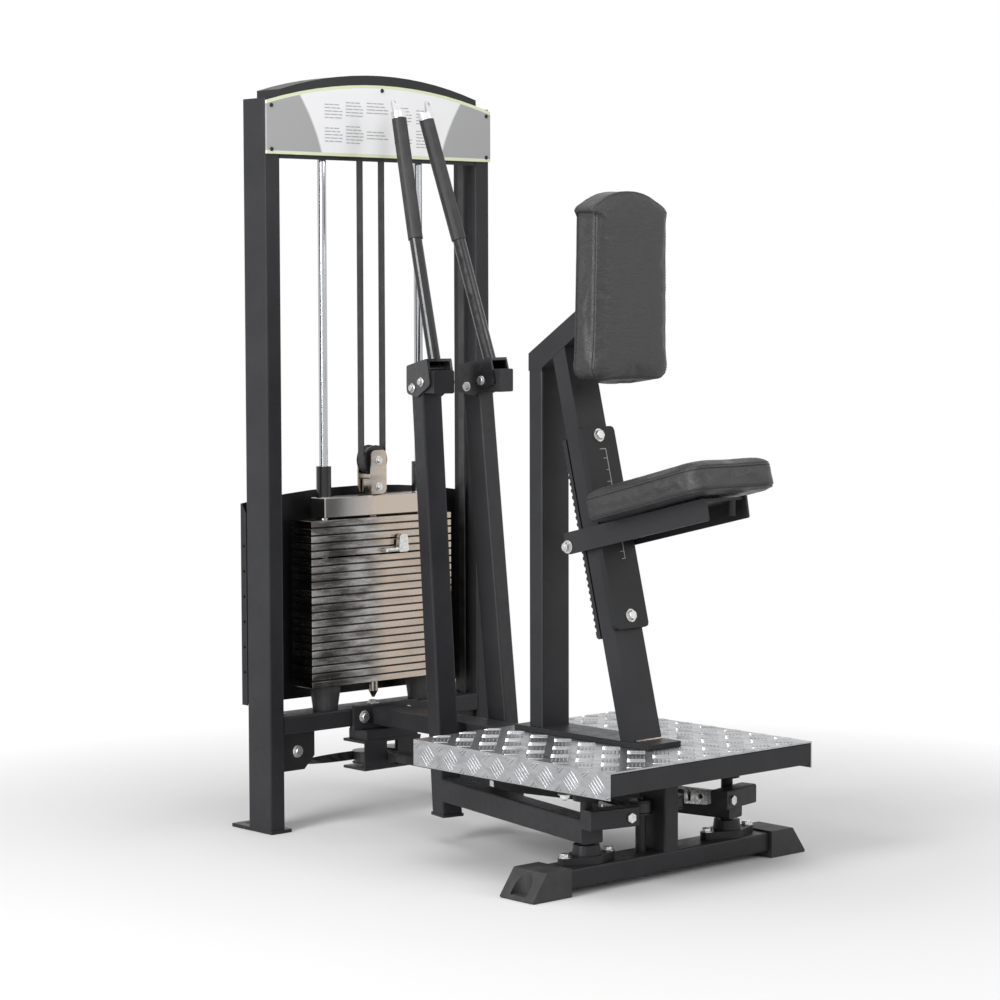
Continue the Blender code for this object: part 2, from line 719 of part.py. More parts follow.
def base_frame():
    """The spine along the floor, the front foot beam with its centre post, and the two rubber shoes."""
    middle = (SPINE_LOW + SPINE_HIGH) / 2
    spine = tube(
        "spine",
        (0, -0.006, middle),
        (0, FRONT_TUBE_Y, middle),
        2 * SPINE_HALF_X,
        SPINE_HIGH - SPINE_LOW,
    )
    join(spine, block("flange", (-0.095, -0.008, 0.209), (0.095, -GAP, 0.264), edge=0.001))

    level = (FOOT_BEAM_LOW + FOOT_BEAM_HIGH) / 2
    centre = (FRONT_TUBE_Y + REAR_TUBE_Y) / 2
    deep = REAR_TUBE_Y - FRONT_TUBE_Y
    beam_end = FOOT_BEAM_END_X
    beam = tube(
        "foot_beam",
        (-beam_end, centre, level),
        (beam_end, centre, level),
        deep,
        FOOT_BEAM_HIGH - FOOT_BEAM_LOW,
    )
    post_end = (0, centre, SPINE_LOW - GAP)
    join(beam, tube("centre post", (0, centre, level), post_end, deep - 0.001, 0.040, up=X_AXIS))
    for side in (-1, 1):
        low = (side * ROLLER_X, ROLLER_Y, level)
        seat_z = BELT_RUN_Z - PULLEY_WIDE / 2 - GAP
        spacer = rod("roller post", low, (low[0], ROLLER_Y, seat_z), 0.011, steps=16)
        axle = rod("roller axle", low, (low[0], ROLLER_Y, 0.166), AXLE_RADIUS, steps=12)
        join(beam, spacer, axle)
        at = (side * ROLLER_X, ROLLER_Y, BELT_RUN_Z)
        pulley(side_name(side) + "_front_roller", at, Z_AXIS, ROLLER_ROOT, ROLLER_FLANGE)

        inner_x, top_x = FOOT_BEAM_END_X - 0.0585, FOOT_CAP_END_X - FOOT_CAP_SLANT
        outline = rounded(
            [(inner_x, 0), (FOOT_CAP_END_X, 0), (top_x, FOOT_CAP_TALL), (inner_x, FOOT_CAP_TALL)],
            [0, 0.003, 0.004, 0],
        )
        shoe = plate(
            side_name(side) + "_foot_cap",
            [(side * x, z) for x, z in outline],
            (0, centre + FOOT_CAP_HALF_Y, 0),
            X_AXIS,
            Z_AXIS,
            2 * FOOT_CAP_HALF_Y,
        )
        pocket = side_block(
            "pocket",
            side,
            (inner_x - 0.01, FRONT_TUBE_Y - GAP, FOOT_BEAM_LOW - GAP),
            (beam_end + GAP, REAR_TUBE_Y + GAP, FOOT_BEAM_HIGH + GAP),
        )
        at = Vector((side * (FOOT_CAP_END_X - 0.0147), centre, 0.0097))
        recess = rod("arched recess", at, at + Z_AXIS * FOOT_CAP_TALL, 0.0235, steps=24)
        cut(shoe, pocket, recess)


HORN_X = 0.094
HORN_Y = 0.115
HORN_RADIUS = 0.0225
HORN_REACH = HORN_RADIUS + GAP + BELT_THICK / 2
BUCKLE_X = HORN_X - HORN_REACH
BUCKLE_END_Y = 0.0605


def arm_frame(side):
    """The joint frame of one arm, on its pivot axis; its own X points inward along inward_sign."""
    return empty(side_name(side) + " arm", (side * PIVOT_X, PIVOT_Y, 0), MACHINE, turn=side * ARM_ANGLE)


def from_left_arm(x, y):
    """The left arm's own (x, y) on the machine's ground plane."""
    turn = Matrix.Rotation(-ARM_ANGLE, 2)
    return Vector((-PIVOT_X, PIVOT_Y)) + turn @ Vector((x, y))


def to_left_arm(point):
    turn = Matrix.Rotation(ARM_ANGLE, 2)
    return turn @ (Vector(point) - Vector((-PIVOT_X, PIVOT_Y)))


def belts(arms):
    """The belt under the stack's wheel, and on each side the run from the tower to the arm's buckle."""
    split = TOP_PULLEY_Z - 0.002
    loop = belt_route(
        [
            ((-BELT_REACH, split - GAP), 0, 0),
            ((0, STACK_PULLEY_Z), BELT_REACH, -1),
            ((BELT_REACH, split - GAP), 0, 0),
        ]
    )
    ribbon("stack_belt", [(Vector((x, ROD_Y, z)), Y_AXIS) for x, z in loop])

    upright = belt_route(
        [
            ((-BELT_REACH, split), 0, 0),
            ((-2 * BELT_REACH, TOP_PULLEY_Z), BELT_REACH, -1),
            ((-OUTER_PULLEY_X, TOP_PULLEY_Z), BELT_REACH, -1),
            ((-OUTER_PULLEY_X, BOTTOM_PULLEY_Z), BELT_REACH, -1),
            ((0.006 - OUTER_PULLEY_X, BELT_RUN_Z), 0, 0),
        ]
    )
    twist_start, twist_end = 0.006 - OUTER_PULLEY_X, -0.006 - CAGE_PULLEY_X
    roller = ((-ROLLER_X, ROLLER_Y), ROLLER_REACH, 1)
    horn = (tuple(from_left_arm(HORN_X, HORN_Y)), HORN_REACH, -1)
    leaving, heading = leaving_point(roller, horn)
    level = belt_route(
        [
            ((twist_end, ROD_Y), 0, 0),
            ((-CAGE_PULLEY_X, CAGE_PULLEY_Y), BELT_REACH, 1),
            roller,
            (tuple(leaving), 0, 0),
        ]
    )
    buckle = from_left_arm(BUCKLE_X, BUCKLE_END_Y + GAP)
    swinging = belt_route([(tuple(leaving + heading * GAP), 0, 0), horn, (tuple(buckle), 0, 0)])
    twist = []
    for step in range(1, 7):
        turn = math.pi / 2 * step / 7
        x = twist_start + (twist_end - twist_start) * step / 7
        twist.append((x, math.cos(turn) * Y_AXIS + math.sin(turn) * Z_AXIS))
    for side in (-1, 1):
        stations = [(Vector((-side * x, ROD_Y, z)), Y_AXIS) for x, z in upright]
        for x, across in twist:
            mirrored = Vector((0, across.y, across.z))
            stations.append((Vector((-side * x, ROD_Y, BELT_RUN_Z)), mirrored))
        stations += [(Vector((-side * x, y, BELT_RUN_Z)), Z_AXIS) for x, y in level]
        ribbon(side_name(side) + "_frame_belt", stations)
        arm_stations = []
        for point in swinging:
            x, y = to_left_arm(point)
            arm_stations.append((Vector((-side * x, y, BELT_RUN_Z)), Z_AXIS))
        ribbon(side_name(side) + "_arm_belt", arm_stations, home=arms[side])


def platform():
    """The deck and the rails under it, which leave room for the spine."""
    high = PLATFORM_TOP - TREAD_THICK - GAP
    low = 0.2136
    inner = PLATFORM_HALF_X - TREAD_THICK - GAP
    front = block(
        "platform_frame",
        (-inner, PLATFORM_FRONT_Y + GAP, low),
        (inner, PLATFORM_FRONT_Y + 0.040, high),
        edge=0.002,
    )
    for side in (-1, 1):
        rail_low, rail_high = (inner - 0.045, PLATFORM_FRONT_Y + 0.010, low + 0.0005), (
            inner - 0.0005,
            PLATFORM_REAR_Y - 0.002,
            high - 0.0005,
        )
        join(front, side_block("side rail", side, rail_low, rail_high))
        for start_y, end_y in ((FRONT_TUBE_Y, REAR_TUBE_Y), (-0.502, -0.4525)):
            rail = side_block(
                "cross rail",
                side,
                (SPINE_HALF_X + GAP, start_y, low),
                (inner - 0.010, end_y, high - 0.001),
            )
            join(front, rail)

    outer, skirt = PLATFORM_HALF_X, PLATFORM_TOP - SKIRT_TALL
    section = [
        (-outer, skirt),
        (-outer, PLATFORM_TOP),
        (outer, PLATFORM_TOP),
        (outer, skirt),
        (outer - TREAD_THICK, skirt),
        (outer - TREAD_THICK, PLATFORM_TOP - TREAD_THICK),
        (TREAD_THICK - outer, PLATFORM_TOP - TREAD_THICK),
        (TREAD_THICK - outer, skirt),
    ]
    length = PLATFORM_REAR_Y - PLATFORM_FRONT_Y
    plate("tread_plate", section, (0, PLATFORM_REAR_Y, 0), X_AXIS, Z_AXIS, length)


SLIDE = SEAT_SLIDE_DIRECTION.normalized()
SLIDE_BACK = SLIDE.cross(X_AXIS)
SEAT_POST_DEEP = 0.040
ARM_UNDER_START = Vector((-0.574, 1.038))
ARM_UNDER_END = Vector((-0.7343, 1.1445))
BASE_PLATE_TOP = 0.2735
BASE_PLATE_HALF_X = 0.0475
BASE_PLATE_FRONT_Y = -0.8995
BASE_PLATE_REAR_Y = -0.493
PAD_BACK_Y = -0.7348


def on_post(along, behind):
    """(y, z) at a distance up the inclined post's front face and behind it."""
    point = POST_FRONT_LOW + SLIDE * along + SLIDE_BACK * behind
    return Vector((point.y, point.z))


def along_to_height(height, behind):
    return (height - POST_FRONT_LOW.z - SLIDE_BACK.z * behind) / SLIDE.z


def along_to_arm(behind):
    """How far up the post its line meets the underside of the pad arm."""
    start = on_post(0, behind)
    run = Vector((SLIDE.y, SLIDE.z))
    under = (ARM_UNDER_END - ARM_UNDER_START).normalized()
    side = Vector((-under.y, under.x))
    return (ARM_UNDER_START - start).dot(side) / run.dot(side)


RACK_GROOVE = 0.0065
RACK_DEEP = 0.0185
RACK_TEETH = 28
WEAR_PLATE_THICK = 0.014
WEAR_PLATE_HALF_X = 0.0475


def seat_post():
    """The inclined post, cut level at its foot and to the pad arm at its top, and the toothed rack down its back."""
    deep, half = SEAT_POST_DEEP, SPINE_HALF_X
    foot = BASE_PLATE_TOP + GAP
    outline = [
        (along_to_height(foot, 0), 0),
        (along_to_arm(0) - 2 * GAP, 0),
        (along_to_arm(deep) - 2 * GAP, deep),
        (along_to_height(foot, deep), deep),
    ]
    points = [tuple(on_post(along, behind)) for along, behind in outline]
    post = plate("seat_post", points, (-half, 0, 0), Y_AXIS, Z_AXIS, 2 * half)

    low, high = along_to_height(0.480, deep), along_to_height(0.890, deep)
    inner, outer = deep + RACK_GROOVE, deep + RACK_DEEP
    outline = [(low, inner), (high, inner), (high, outer - 0.005), (high - 0.005, outer)]
    pitch = (high - low - 0.020) / RACK_TEETH
    for tooth in range(RACK_TEETH):
        start = high - 0.010 - pitch * tooth
        outline += [(start, outer), (start - 0.001, outer - 0.003), (start - pitch * 0.5, outer - 0.003)]
        outline.append((start - pitch * 0.6, outer))
    outline += [(low + 0.005, outer), (low, outer - 0.005)]
    points = [tuple(on_post(along, behind)) for along, behind in outline]
    rack = plate("rack", points, (0.002 - half, 0, 0), Y_AXIS, Z_AXIS, 2 * half - 0.004)
    spacer = [(low + 0.008, deep - 0.001), (high - 0.008, deep - 0.001), (high - 0.008, inner + 0.001), (low + 0.008, inner + 0.001)]
    points = [tuple(on_post(along, behind)) for along, behind in spacer]
    join(post, plate("rack spacer", points, (-0.020, 0, 0), Y_AXIS, Z_AXIS, 0.040), rack)

    low, high = along_to_height(0.4995, 0), along_to_height(0.913, 0)
    face = rectangle((-WEAR_PLATE_HALF_X, low), (WEAR_PLATE_HALF_X, high), 0.009)
    plate("wear_plate", face, POST_FRONT_LOW - SLIDE_BACK * GAP, X_AXIS, SLIDE, WEAR_PLATE_THICK)


def pad_frame():
    """The base plate, the upright, the arm that runs forward to the chest pad and the pad's own plate."""
    frame = block(
        "pad_frame",
        (-BASE_PLATE_HALF_X, BASE_PLATE_FRONT_Y, PLATFORM_TOP + GAP),
        (BASE_PLATE_HALF_X, BASE_PLATE_REAR_Y, BASE_PLATE_TOP),
        edge=0.001,
    )
    upright_y = (-0.574 - 0.532) / 2
    half = SPINE_HALF_X
    upright = tube(
        "upright",
        (0, upright_y, BASE_PLATE_TOP - 0.004),
        (0, upright_y, 1.045),
        0.042,
        2 * half - 0.001,
        up=X_AXIS,
    )
    outline = [
        (-0.532, 1.030),
        (-0.532, 1.067),
        (-0.660, 1.147),
        (-0.7343, 1.1925),
        tuple(ARM_UNDER_END),
        tuple(ARM_UNDER_START),
        (-0.574, 1.030),
    ]
    arm = plate("pad arm", outline, (-half, 0, 0), Y_AXIS, Z_AXIS, 2 * half)
    face_y = PAD_BACK_Y + GAP
    mount = block("pad plate", (-0.055, face_y, 1.105), (0.055, face_y + 0.006, 1.235), edge=0.001)
    join(frame, upright, arm, mount)


def pads():
    """The chest pad, on the plate that ends the pad arm."""
    half, low, shoulder, top = 0.113, 1.008, 1.370, 1.409
    arch = arc_points(half, shoulder, top - shoulder, count=10)
    outline = rounded([(-half, low), (half, low), *arch], [0.028, 0.028] + [0] * len(arch), 4)
    rings = [
        (0.006, 0),
        (0.0015, 0.002),
        (0, 0.009),
        (0.0015, 0.030),
        (0, 0.052),
        (0.0022, 0.0555),
        (0.0008, 0.059),
        (0.004, 0.0640),
        (0.016, 0.0680),
        (0.045, 0.0705),
        (0.080, 0.0710),
    ]
    cushion("chest_pad", outline, rings, (0, PAD_BACK_Y, 0), X_AXIS, Z_AXIS)


CARRIAGE_HALF_X = 0.061
SIDE_PLATE_THICK = 0.0055
SEAT_PAD_BASE = (0, -0.7995, 0.7265)
SEAT_PAD_FORWARD = Vector((0, -0.9700, 0.2430))


def seat():
    """The carriage on the inclined post, its rear roller and the seat pad."""
    half = CARRIAGE_HALF_X
    inner_half = half - SIDE_PLATE_THICK
    corners = [(-0.675, 0.650), (-0.661, 0.694), (-1.069, 0.789), (-1.077, 0.744)]
    loop = rounded(corners, [0.006, 0.002, 0.002, 0.004], 2)
    carriage = plate("seat_carriage", loop, (-half, 0, 0), Y_AXIS, Z_AXIS, SIDE_PLATE_THICK)
    right = plate("right side plate", loop, (inner_half, 0, 0), Y_AXIS, Z_AXIS, SIDE_PLATE_THICK)
    web_half = inner_half + 0.001
    web = [(-0.782, 0.7205), (-1.064, 0.7860), (-1.064, 0.7800), (-0.782, 0.7145)]
    top = plate("top plate", web, (-web_half, 0, 0), Y_AXIS, Z_AXIS, 2 * web_half)
    stop = rod("stop", (0.030, -1.055, 0.748), (0.030, -1.055, 0.782), 0.009, steps=16)
    face = WEAR_PLATE_THICK + 2.5 * GAP
    contact = [on_post(0.424, -face), on_post(0.446, -face), on_post(0.438, -0.040), on_post(0.424, -0.040)]
    pad_block = plate("contact block", contact, (-web_half, 0, 0), Y_AXIS, Z_AXIS, 2 * web_half)
    axis_y, axis_z = -0.6745, 0.6665
    axle = rod("axle", (-web_half, axis_y, axis_z), (web_half, axis_y, axis_z), AXLE_RADIUS, steps=12)
    join(carriage, right, top, stop, pad_block, axle)
    wide = inner_half - 0.0005
    drum = [(0.0125, wide), (0.0125, -wide), (PULLEY_BORE, -wide), (PULLEY_BORE, wide)]
    turned("seat_roller", drum, (0, axis_y, axis_z), X_AXIS, steps=20)

    half, back, front = 0.125, -0.012, 0.327
    outline = rounded([(-half, back), (half, back), (half, front), (-half, front)], [0.014, 0.014, 0.040, 0.040], 6)
    rings = [
        (0.006, 0),
        (0.0015, 0.002),
        (0, 0.009),
        (0.0015, 0.026),
        (0, 0.043),
        (0.0022, 0.0465),
        (0.0008, 0.050),
        (0.004, 0.0555),
        (0.016, 0.0610),
        (0.045, 0.0645),
        (0.085, 0.0660),
    ]
    cushion("seat_pad", outline, rings, SEAT_PAD_BASE, -X_AXIS, SEAT_PAD_FORWARD)


def bearings():
    """Two oval flange bearings on each pivot: one on the foot beam and one under the deck."""
    reach, end_reach, spacing = 0.036, 0.0145, 0.060
    lean = math.asin((reach - end_reach) / spacing)
    tip_x, tip_y = reach / math.sin(lean), reach / math.cos(lean)
    corners = [(-tip_x, 0), (0, -tip_y), (tip_x, 0), (0, tip_y)]
    outline = rounded(corners, [end_reach, reach, end_reach, reach], 4)
    for side in (-1, 1):
        for name, face, way in (("lower", FOOT_BEAM_HIGH + GAP, 1), ("upper", 0.2136 - GAP, -1)):
            at = (side * PIVOT_X, PIVOT_Y, min(face, face + way * 0.0157))
            flange = plate(f"{side_name(side)}_{name}_bearing", outline, at, X_AXIS, Y_AXIS, 0.0157)
            start = (side * PIVOT_X, PIVOT_Y, face + way * 0.004)
            hub = rod("hub", start, (side * PIVOT_X, PIVOT_Y, face + way * 0.0355), 0.031, end_radius=0.027)
            bore = rod(
                "bore",
                (side * PIVOT_X, PIVOT_Y, face - way * 0.01),
                (side * PIVOT_X, PIVOT_Y, face + way * 0.05),
                PIVOT_RADIUS + 2 * GAP,
                steps=20,
            )
            join(flange, hub)
            cut(flange, bore)


RISER_FOOT = (0.5666, 0.064)
RISER_HEAD = (0.6520, 0.986)
BLOCK_LOW = (0.573, 0.978)
BLOCK_HIGH = (0.685, 1.0285)
HANDLE_START = (0.001, 0.6172, 1.0475)
HANDLE_BEND = (0.002, 0.7008, 1.3112)
HANDLE_END = (0.0085, 0.7856, 1.5785)
HANDLE_RADIUS = 0.014
GRIP_RADIUS = 0.0165
CAP_TALL = 0.0165
LEVER_BOLT_Z = 0.144


def inward(side, point):
    """A point given with X inward, as the arm on this side has it."""
    return Vector((-side * point[0], point[1], point[2]))


def swinging_arm(side, home):
    """The lower beam, its lever, the leaning riser, the head block, the pivot shaft and the belt horn."""
    name = side_name(side)
    half = ARM_TUBE / 2
    beam = tube(
        name + "_arm_frame",
        (0, -0.022, 0.118),
        (0, 0.562, 0.118),
        ARM_TUBE,
        ARM_TUBE,
        home=home,
    )
    lever = tube(
        "lever",
        inward(side, (-half, -0.037, 0.145)),
        inward(side, (0.090, -0.037, 0.145)),
        0.040,
        0.040,
        home=home,
    )
    riser = tube(
        "riser",
        (0, *RISER_FOOT),
        (0, *RISER_HEAD),
        ARM_TUBE - 0.001,
        ARM_TUBE - 0.001,
        up=Y_AXIS,
        home=home,
    )
    cap = block("closing plate", (-0.026, 0.5395, 0.0585), (0.026, 0.5935, 0.0655), home, edge=0.001)
    middle = (BLOCK_LOW[1] + BLOCK_HIGH[1]) / 2
    tall = BLOCK_HIGH[1] - BLOCK_LOW[1]
    head = tube("head block", (0, BLOCK_LOW[0], middle), (0, BLOCK_HIGH[0], middle), 0.050, tall, home=home)
    shaft = rod("shaft", (0, 0, 0.0545), (0, 0, 0.212), PIVOT_RADIUS, home, steps=20)
    horn_low, horn_high = mirror_x(-side, 0.020, 0.1205)
    horn_plate = block("horn plate", (horn_low, 0.085, 0.117), (horn_high, 0.140, 0.1235), home)
    horn_at = inward(side, (HORN_X, HORN_Y, 0))
    horn = rod(
        "horn",
        horn_at + Z_AXIS * 0.121,
        horn_at + Z_AXIS * 0.160,
        HORN_RADIUS,
        home,
        steps=20,
    )
    join(beam, lever, riser, cap, head, shaft, horn_plate, horn)
    hole = rod(
        "lever bolt hole",
        inward(side, (BUCKLE_X, -0.08, LEVER_BOLT_Z)),
        inward(side, (BUCKLE_X, 0.01, LEVER_BOLT_Z)),
        AXLE_RADIUS + 2 * GAP,
        home,
        steps=12,
    )
    cut(beam, hole)


def buckle(side, home):
    """The drilled plate that ends the belt, with the bolt that holds it to the lever."""
    outline = rounded(
        [
            (-0.0165, 0.137),
            (0.004, 0.1285),
            (BUCKLE_END_Y, 0.126),
            (BUCKLE_END_Y, 0.161),
            (0.004, 0.1595),
            (-0.0165, 0.151),
        ],
        [0.001, 0.008, 0.003, 0.003, 0.008, 0.001],
        2,
    )
    slot = rectangle((0.044, 0.131), (0.051, 0.156), 0.001, 1)
    holes = (slot, circle((0.020, 0.144), 0.006, 12), circle((0.0545, 0.1545), 0.002, 8))
    base_x = mirror_x(-side, BUCKLE_X - 0.0025, BUCKLE_X + 0.0025)[0]
    name = side_name(side) + "_buckle"
    body = plate(name, outline, (base_x, 0, 0), Y_AXIS, Z_AXIS, 0.005, holes, home)
    start = inward(side, (BUCKLE_X, -0.062, LEVER_BOLT_Z))
    stud = rod("stud", start, inward(side, (BUCKLE_X, -0.012, LEVER_BOLT_Z)), AXLE_RADIUS, home, steps=12)
    head = rod("hex head", start, start + Y_AXIS * 0.0045, 0.0105, home, steps=6)
    join(body, stud, head)


def handle(side, home):
    """The saddle bracket over the head block, the bent bar with its cap and lug, and the grip over it."""
    name = side_name(side)
    outline = rounded(
        [(0.595, 1.054), (0.686, 1.0365), (0.686, 0.976), (0.640, 0.969), (0.581, 0.997)],
        [0.006, 0.006, 0.012, 0.012, 0.010],
        3,
    )
    bracket = plate(name + "_handle_bar", outline, (-0.031, 0, 0), Y_AXIS, Z_AXIS, 0.0057, home=home)
    other = plate("right cheek", outline, (0.0253, 0, 0), Y_AXIS, Z_AXIS, 0.0057, home=home)
    roof = [(0.5945, 1.0535), (0.6855, 1.0360), (0.6855, 1.0300), (0.5933, 1.0475)]
    top = plate("roof", roof, (-0.030, 0, 0), Y_AXIS, Z_AXIS, 0.060, home=home)
    start, bend, end = (inward(side, point) for point in (HANDLE_START, HANDLE_BEND, HANDLE_END))
    lower_way, way = (bend - start).normalized(), (end - bend).normalized()
    lower = rod("lower bar", start, bend + lower_way * 0.004, HANDLE_RADIUS, home, steps=20)
    upper = rod("upper bar", bend, end + way * 0.004, HANDLE_RADIUS, home, steps=20)
    crown = rod("end cap", end + way * GAP, end + way * CAP_TALL, GRIP_RADIUS, home, steps=20)
    tab = rounded([(-0.004, 0), (0.0160, 0), (0.0185, 0.0310), (0.0025, 0.0310)], [0, 0, 0.0078, 0.0078], 4)
    facing = X_AXIS.cross(way).normalized()
    lug = plate(
        "lug",
        [(side * x, y) for x, y in tab],
        end + way * (CAP_TALL - 0.003) + facing * 0.0043,
        X_AXIS,
        facing.cross(X_AXIS),
        0.005,
        holes=(circle((side * 0.0105, 0.0225), 0.0042, 12),),
        home=home,
    )
    join(bracket, other, top, lower, upper, crown, lug)

    grip_start = bend + way * 0.002
    sleeve = rod(name + "_grip", grip_start, end, GRIP_RADIUS, home, steps=20)
    bore = rod("grip bore", bend - way * 0.02, end + way * 0.02, HANDLE_RADIUS + 2 * GAP, home, steps=20)
    cut(sleeve, bore)


FINISHES = {
    "black powder coat": ((0.020, 0.020, 0.022, 1), 0.0, 0.45),
    "bright steel": ((0.62, 0.62, 0.63, 1), 1.0, 0.28),
    "chrome": ((0.75, 0.75, 0.77, 1), 1.0, 0.08),
    "zinc": ((0.60, 0.60, 0.58, 1), 1.0, 0.40),
    "tread aluminium": ((0.55, 0.56, 0.57, 1), 1.0, 0.35),
    "black rubber": ((0.018, 0.018, 0.018, 1), 0.0, 0.75),
    "black plastic": ((0.022, 0.022, 0.024, 1), 0.0, 0.38),
    "black leather": ((0.015, 0.015, 0.016, 1), 0.0, 0.50),
    "placard white": ((0.80, 0.80, 0.78, 1), 0.0, 0.55),
}

FINISH_OF = {
    "bright steel": ("resting_plates", "lifted_plates", "top_plate", "selector_rod"),
    "chrome": ("left_guide_rod", "right_guide_rod"),
    "zinc": ("selector_pin", "left_buckle", "right_buckle", "seat_roller"),
    "tread aluminium": ("tread_plate",),
    "black rubber": ("belt", "bumper", "foot_cap", "grip"),
    "black plastic": ("pulley", "roller"),
    "black leather": ("chest_pad", "seat_pad"),
    "placard white": ("placard",),
}


def paint():
    """Gives each piece its finish: a whole name first, then the ending of a name, or else the black coat."""
    made = {}
    for label, (colour, metallic, roughness) in FINISHES.items():
        finish = bpy.data.materials.new(label)
        finish.use_nodes = True
        shader = finish.node_tree.nodes["Principled BSDF"]
        shader.inputs["Base Color"].default_value = colour
        shader.inputs["Metallic"].default_value = metallic
        shader.inputs["Roughness"].default_value = roughness
        made[label] = finish
    for piece in list(PARTS.objects) + list(HELPERS.objects):
        if piece.type != "MESH":
            continue
        chosen = "black powder coat"
        for label, endings in FINISH_OF.items():
            if piece.name in endings:
                chosen = label
                break
            if piece.name.endswith(endings):
                chosen = label
        piece.data.materials.clear()
        piece.data.materials.append(made[chosen])


def main():
    tower_posts()
    header_arch()
    placard()
    rear_shroud()
    tower_crossbeam()
    weight_stack()
    stack_pulley_bracket()
    for side in (-1, 1):
        bottom_pulley_box(side)
        for label, x in (("inner", 2 * BELT_REACH), ("outer", OUTER_PULLEY_X)):
            pulley(f"{side_name(side)}_{label}_top_pulley", (side * x, ROD_Y, TOP_PULLEY_Z), Y_AXIS)
    centre_pulley_cage()
    base_frame()
    platform()
    seat_post()
    pad_frame()
    pads()
    seat()
    bearings()
    arms = {side: arm_frame(side) for side in (-1, 1)}
    belts(arms)
    for side, home in arms.items():
        swinging_arm(side, home)
        buckle(side, home)
        handle(side, home)
    paint()


main()
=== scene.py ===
"""Looks of the rear deltoid machine: finishes, pads, fastenings, deck tread, board and studio."""

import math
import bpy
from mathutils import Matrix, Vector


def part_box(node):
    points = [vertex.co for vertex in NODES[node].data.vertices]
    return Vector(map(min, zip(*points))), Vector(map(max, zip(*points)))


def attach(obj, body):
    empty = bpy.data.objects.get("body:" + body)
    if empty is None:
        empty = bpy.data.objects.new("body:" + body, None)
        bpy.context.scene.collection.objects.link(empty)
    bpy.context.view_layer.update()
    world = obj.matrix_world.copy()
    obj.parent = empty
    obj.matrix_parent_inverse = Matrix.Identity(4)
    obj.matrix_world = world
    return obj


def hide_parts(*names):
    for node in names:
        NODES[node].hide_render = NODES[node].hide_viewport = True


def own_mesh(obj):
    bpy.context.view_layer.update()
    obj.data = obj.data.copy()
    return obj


bl_info = {
    "name": "Rear deltoid machine looks",
    "version": (1, 0, 0),
    "blender": (4, 5, 0),
    "location": "3D View > Sidebar > Machine",
    "description": "Dresses the packed frame of a rear deltoid machine",
    "category": "Object",
}

import bmesh
import bpy
from bpy.props import FloatProperty, FloatVectorProperty, PointerProperty
from mathutils import Matrix, Vector, noise
from mathutils.bvhtree import BVHTree
from mathutils.kdtree import KDTree

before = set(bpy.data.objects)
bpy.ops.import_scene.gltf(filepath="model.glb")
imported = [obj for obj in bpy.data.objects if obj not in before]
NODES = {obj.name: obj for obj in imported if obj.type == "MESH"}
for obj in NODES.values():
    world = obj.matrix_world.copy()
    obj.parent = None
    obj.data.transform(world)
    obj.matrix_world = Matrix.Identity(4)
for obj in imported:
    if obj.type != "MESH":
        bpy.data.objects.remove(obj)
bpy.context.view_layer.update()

BACK_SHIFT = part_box("tread_plate")[0][1] + 1.0379
ARM_ANGLE = math.radians(11.5)
STACK_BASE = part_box("resting_plates")[0][2]
PLATE_PITCH, PLATE_THICK = 0.0172, 0.0137
HEAD_BLOCK_TOP = 0.7395
GRIP_TOP = 1.5785
BASE_PLATE_TOP = 0.2735
BOARD_FACE = -0.0053
BOARD_LOW, BOARD_SHOULDER, BOARD_TOP, BOARD_ARC = 1.499, 1.6145, 1.660, 0.4275
PIVOT = (0.205, -0.880 + BACK_SHIFT)
X_AXIS, Y_AXIS, Z_AXIS = Vector((1, 0, 0)), Vector((0, 1, 0)), Vector((0, 0, 1))
SEAT_POST_LOW = Vector((0, -0.850 + BACK_SHIFT, 0.2755))
SEAT_POST_UP = Vector((0, 0.2489, 0.9685)).normalized()
SEAT_POST_FRONT = X_AXIS.cross(SEAT_POST_UP)


def at(x, y, z):
    """A point measured from the tower's front face, in the frame's own metres."""
    return Vector((x, y + BACK_SHIFT, z))


def on_arm(side, x, y, z):
    """A point of one arm, with x inward from its beam and y back from its pivot."""
    turn = Matrix.Rotation(side * ARM_ANGLE, 3, "Z")
    return turn @ Vector((-side * x, y, z)) + Vector((side * PIVOT[0], PIVOT[1], 0))


def arm_way(side, x, y, z):
    """A direction of one arm."""
    return Matrix.Rotation(side * ARM_ANGLE, 3, "Z") @ Vector((-side * x, y, z))


def on_seat_post(x, along, proud):
    """A point on the inclined post's face, from the height of its foot up and proud of its front."""
    return SEAT_POST_LOW + X_AXIS * x + SEAT_POST_UP * along + SEAT_POST_FRONT * proud


def side_name(side):
    """The word for -1 or 1."""
    return "left" if side < 0 else "right"


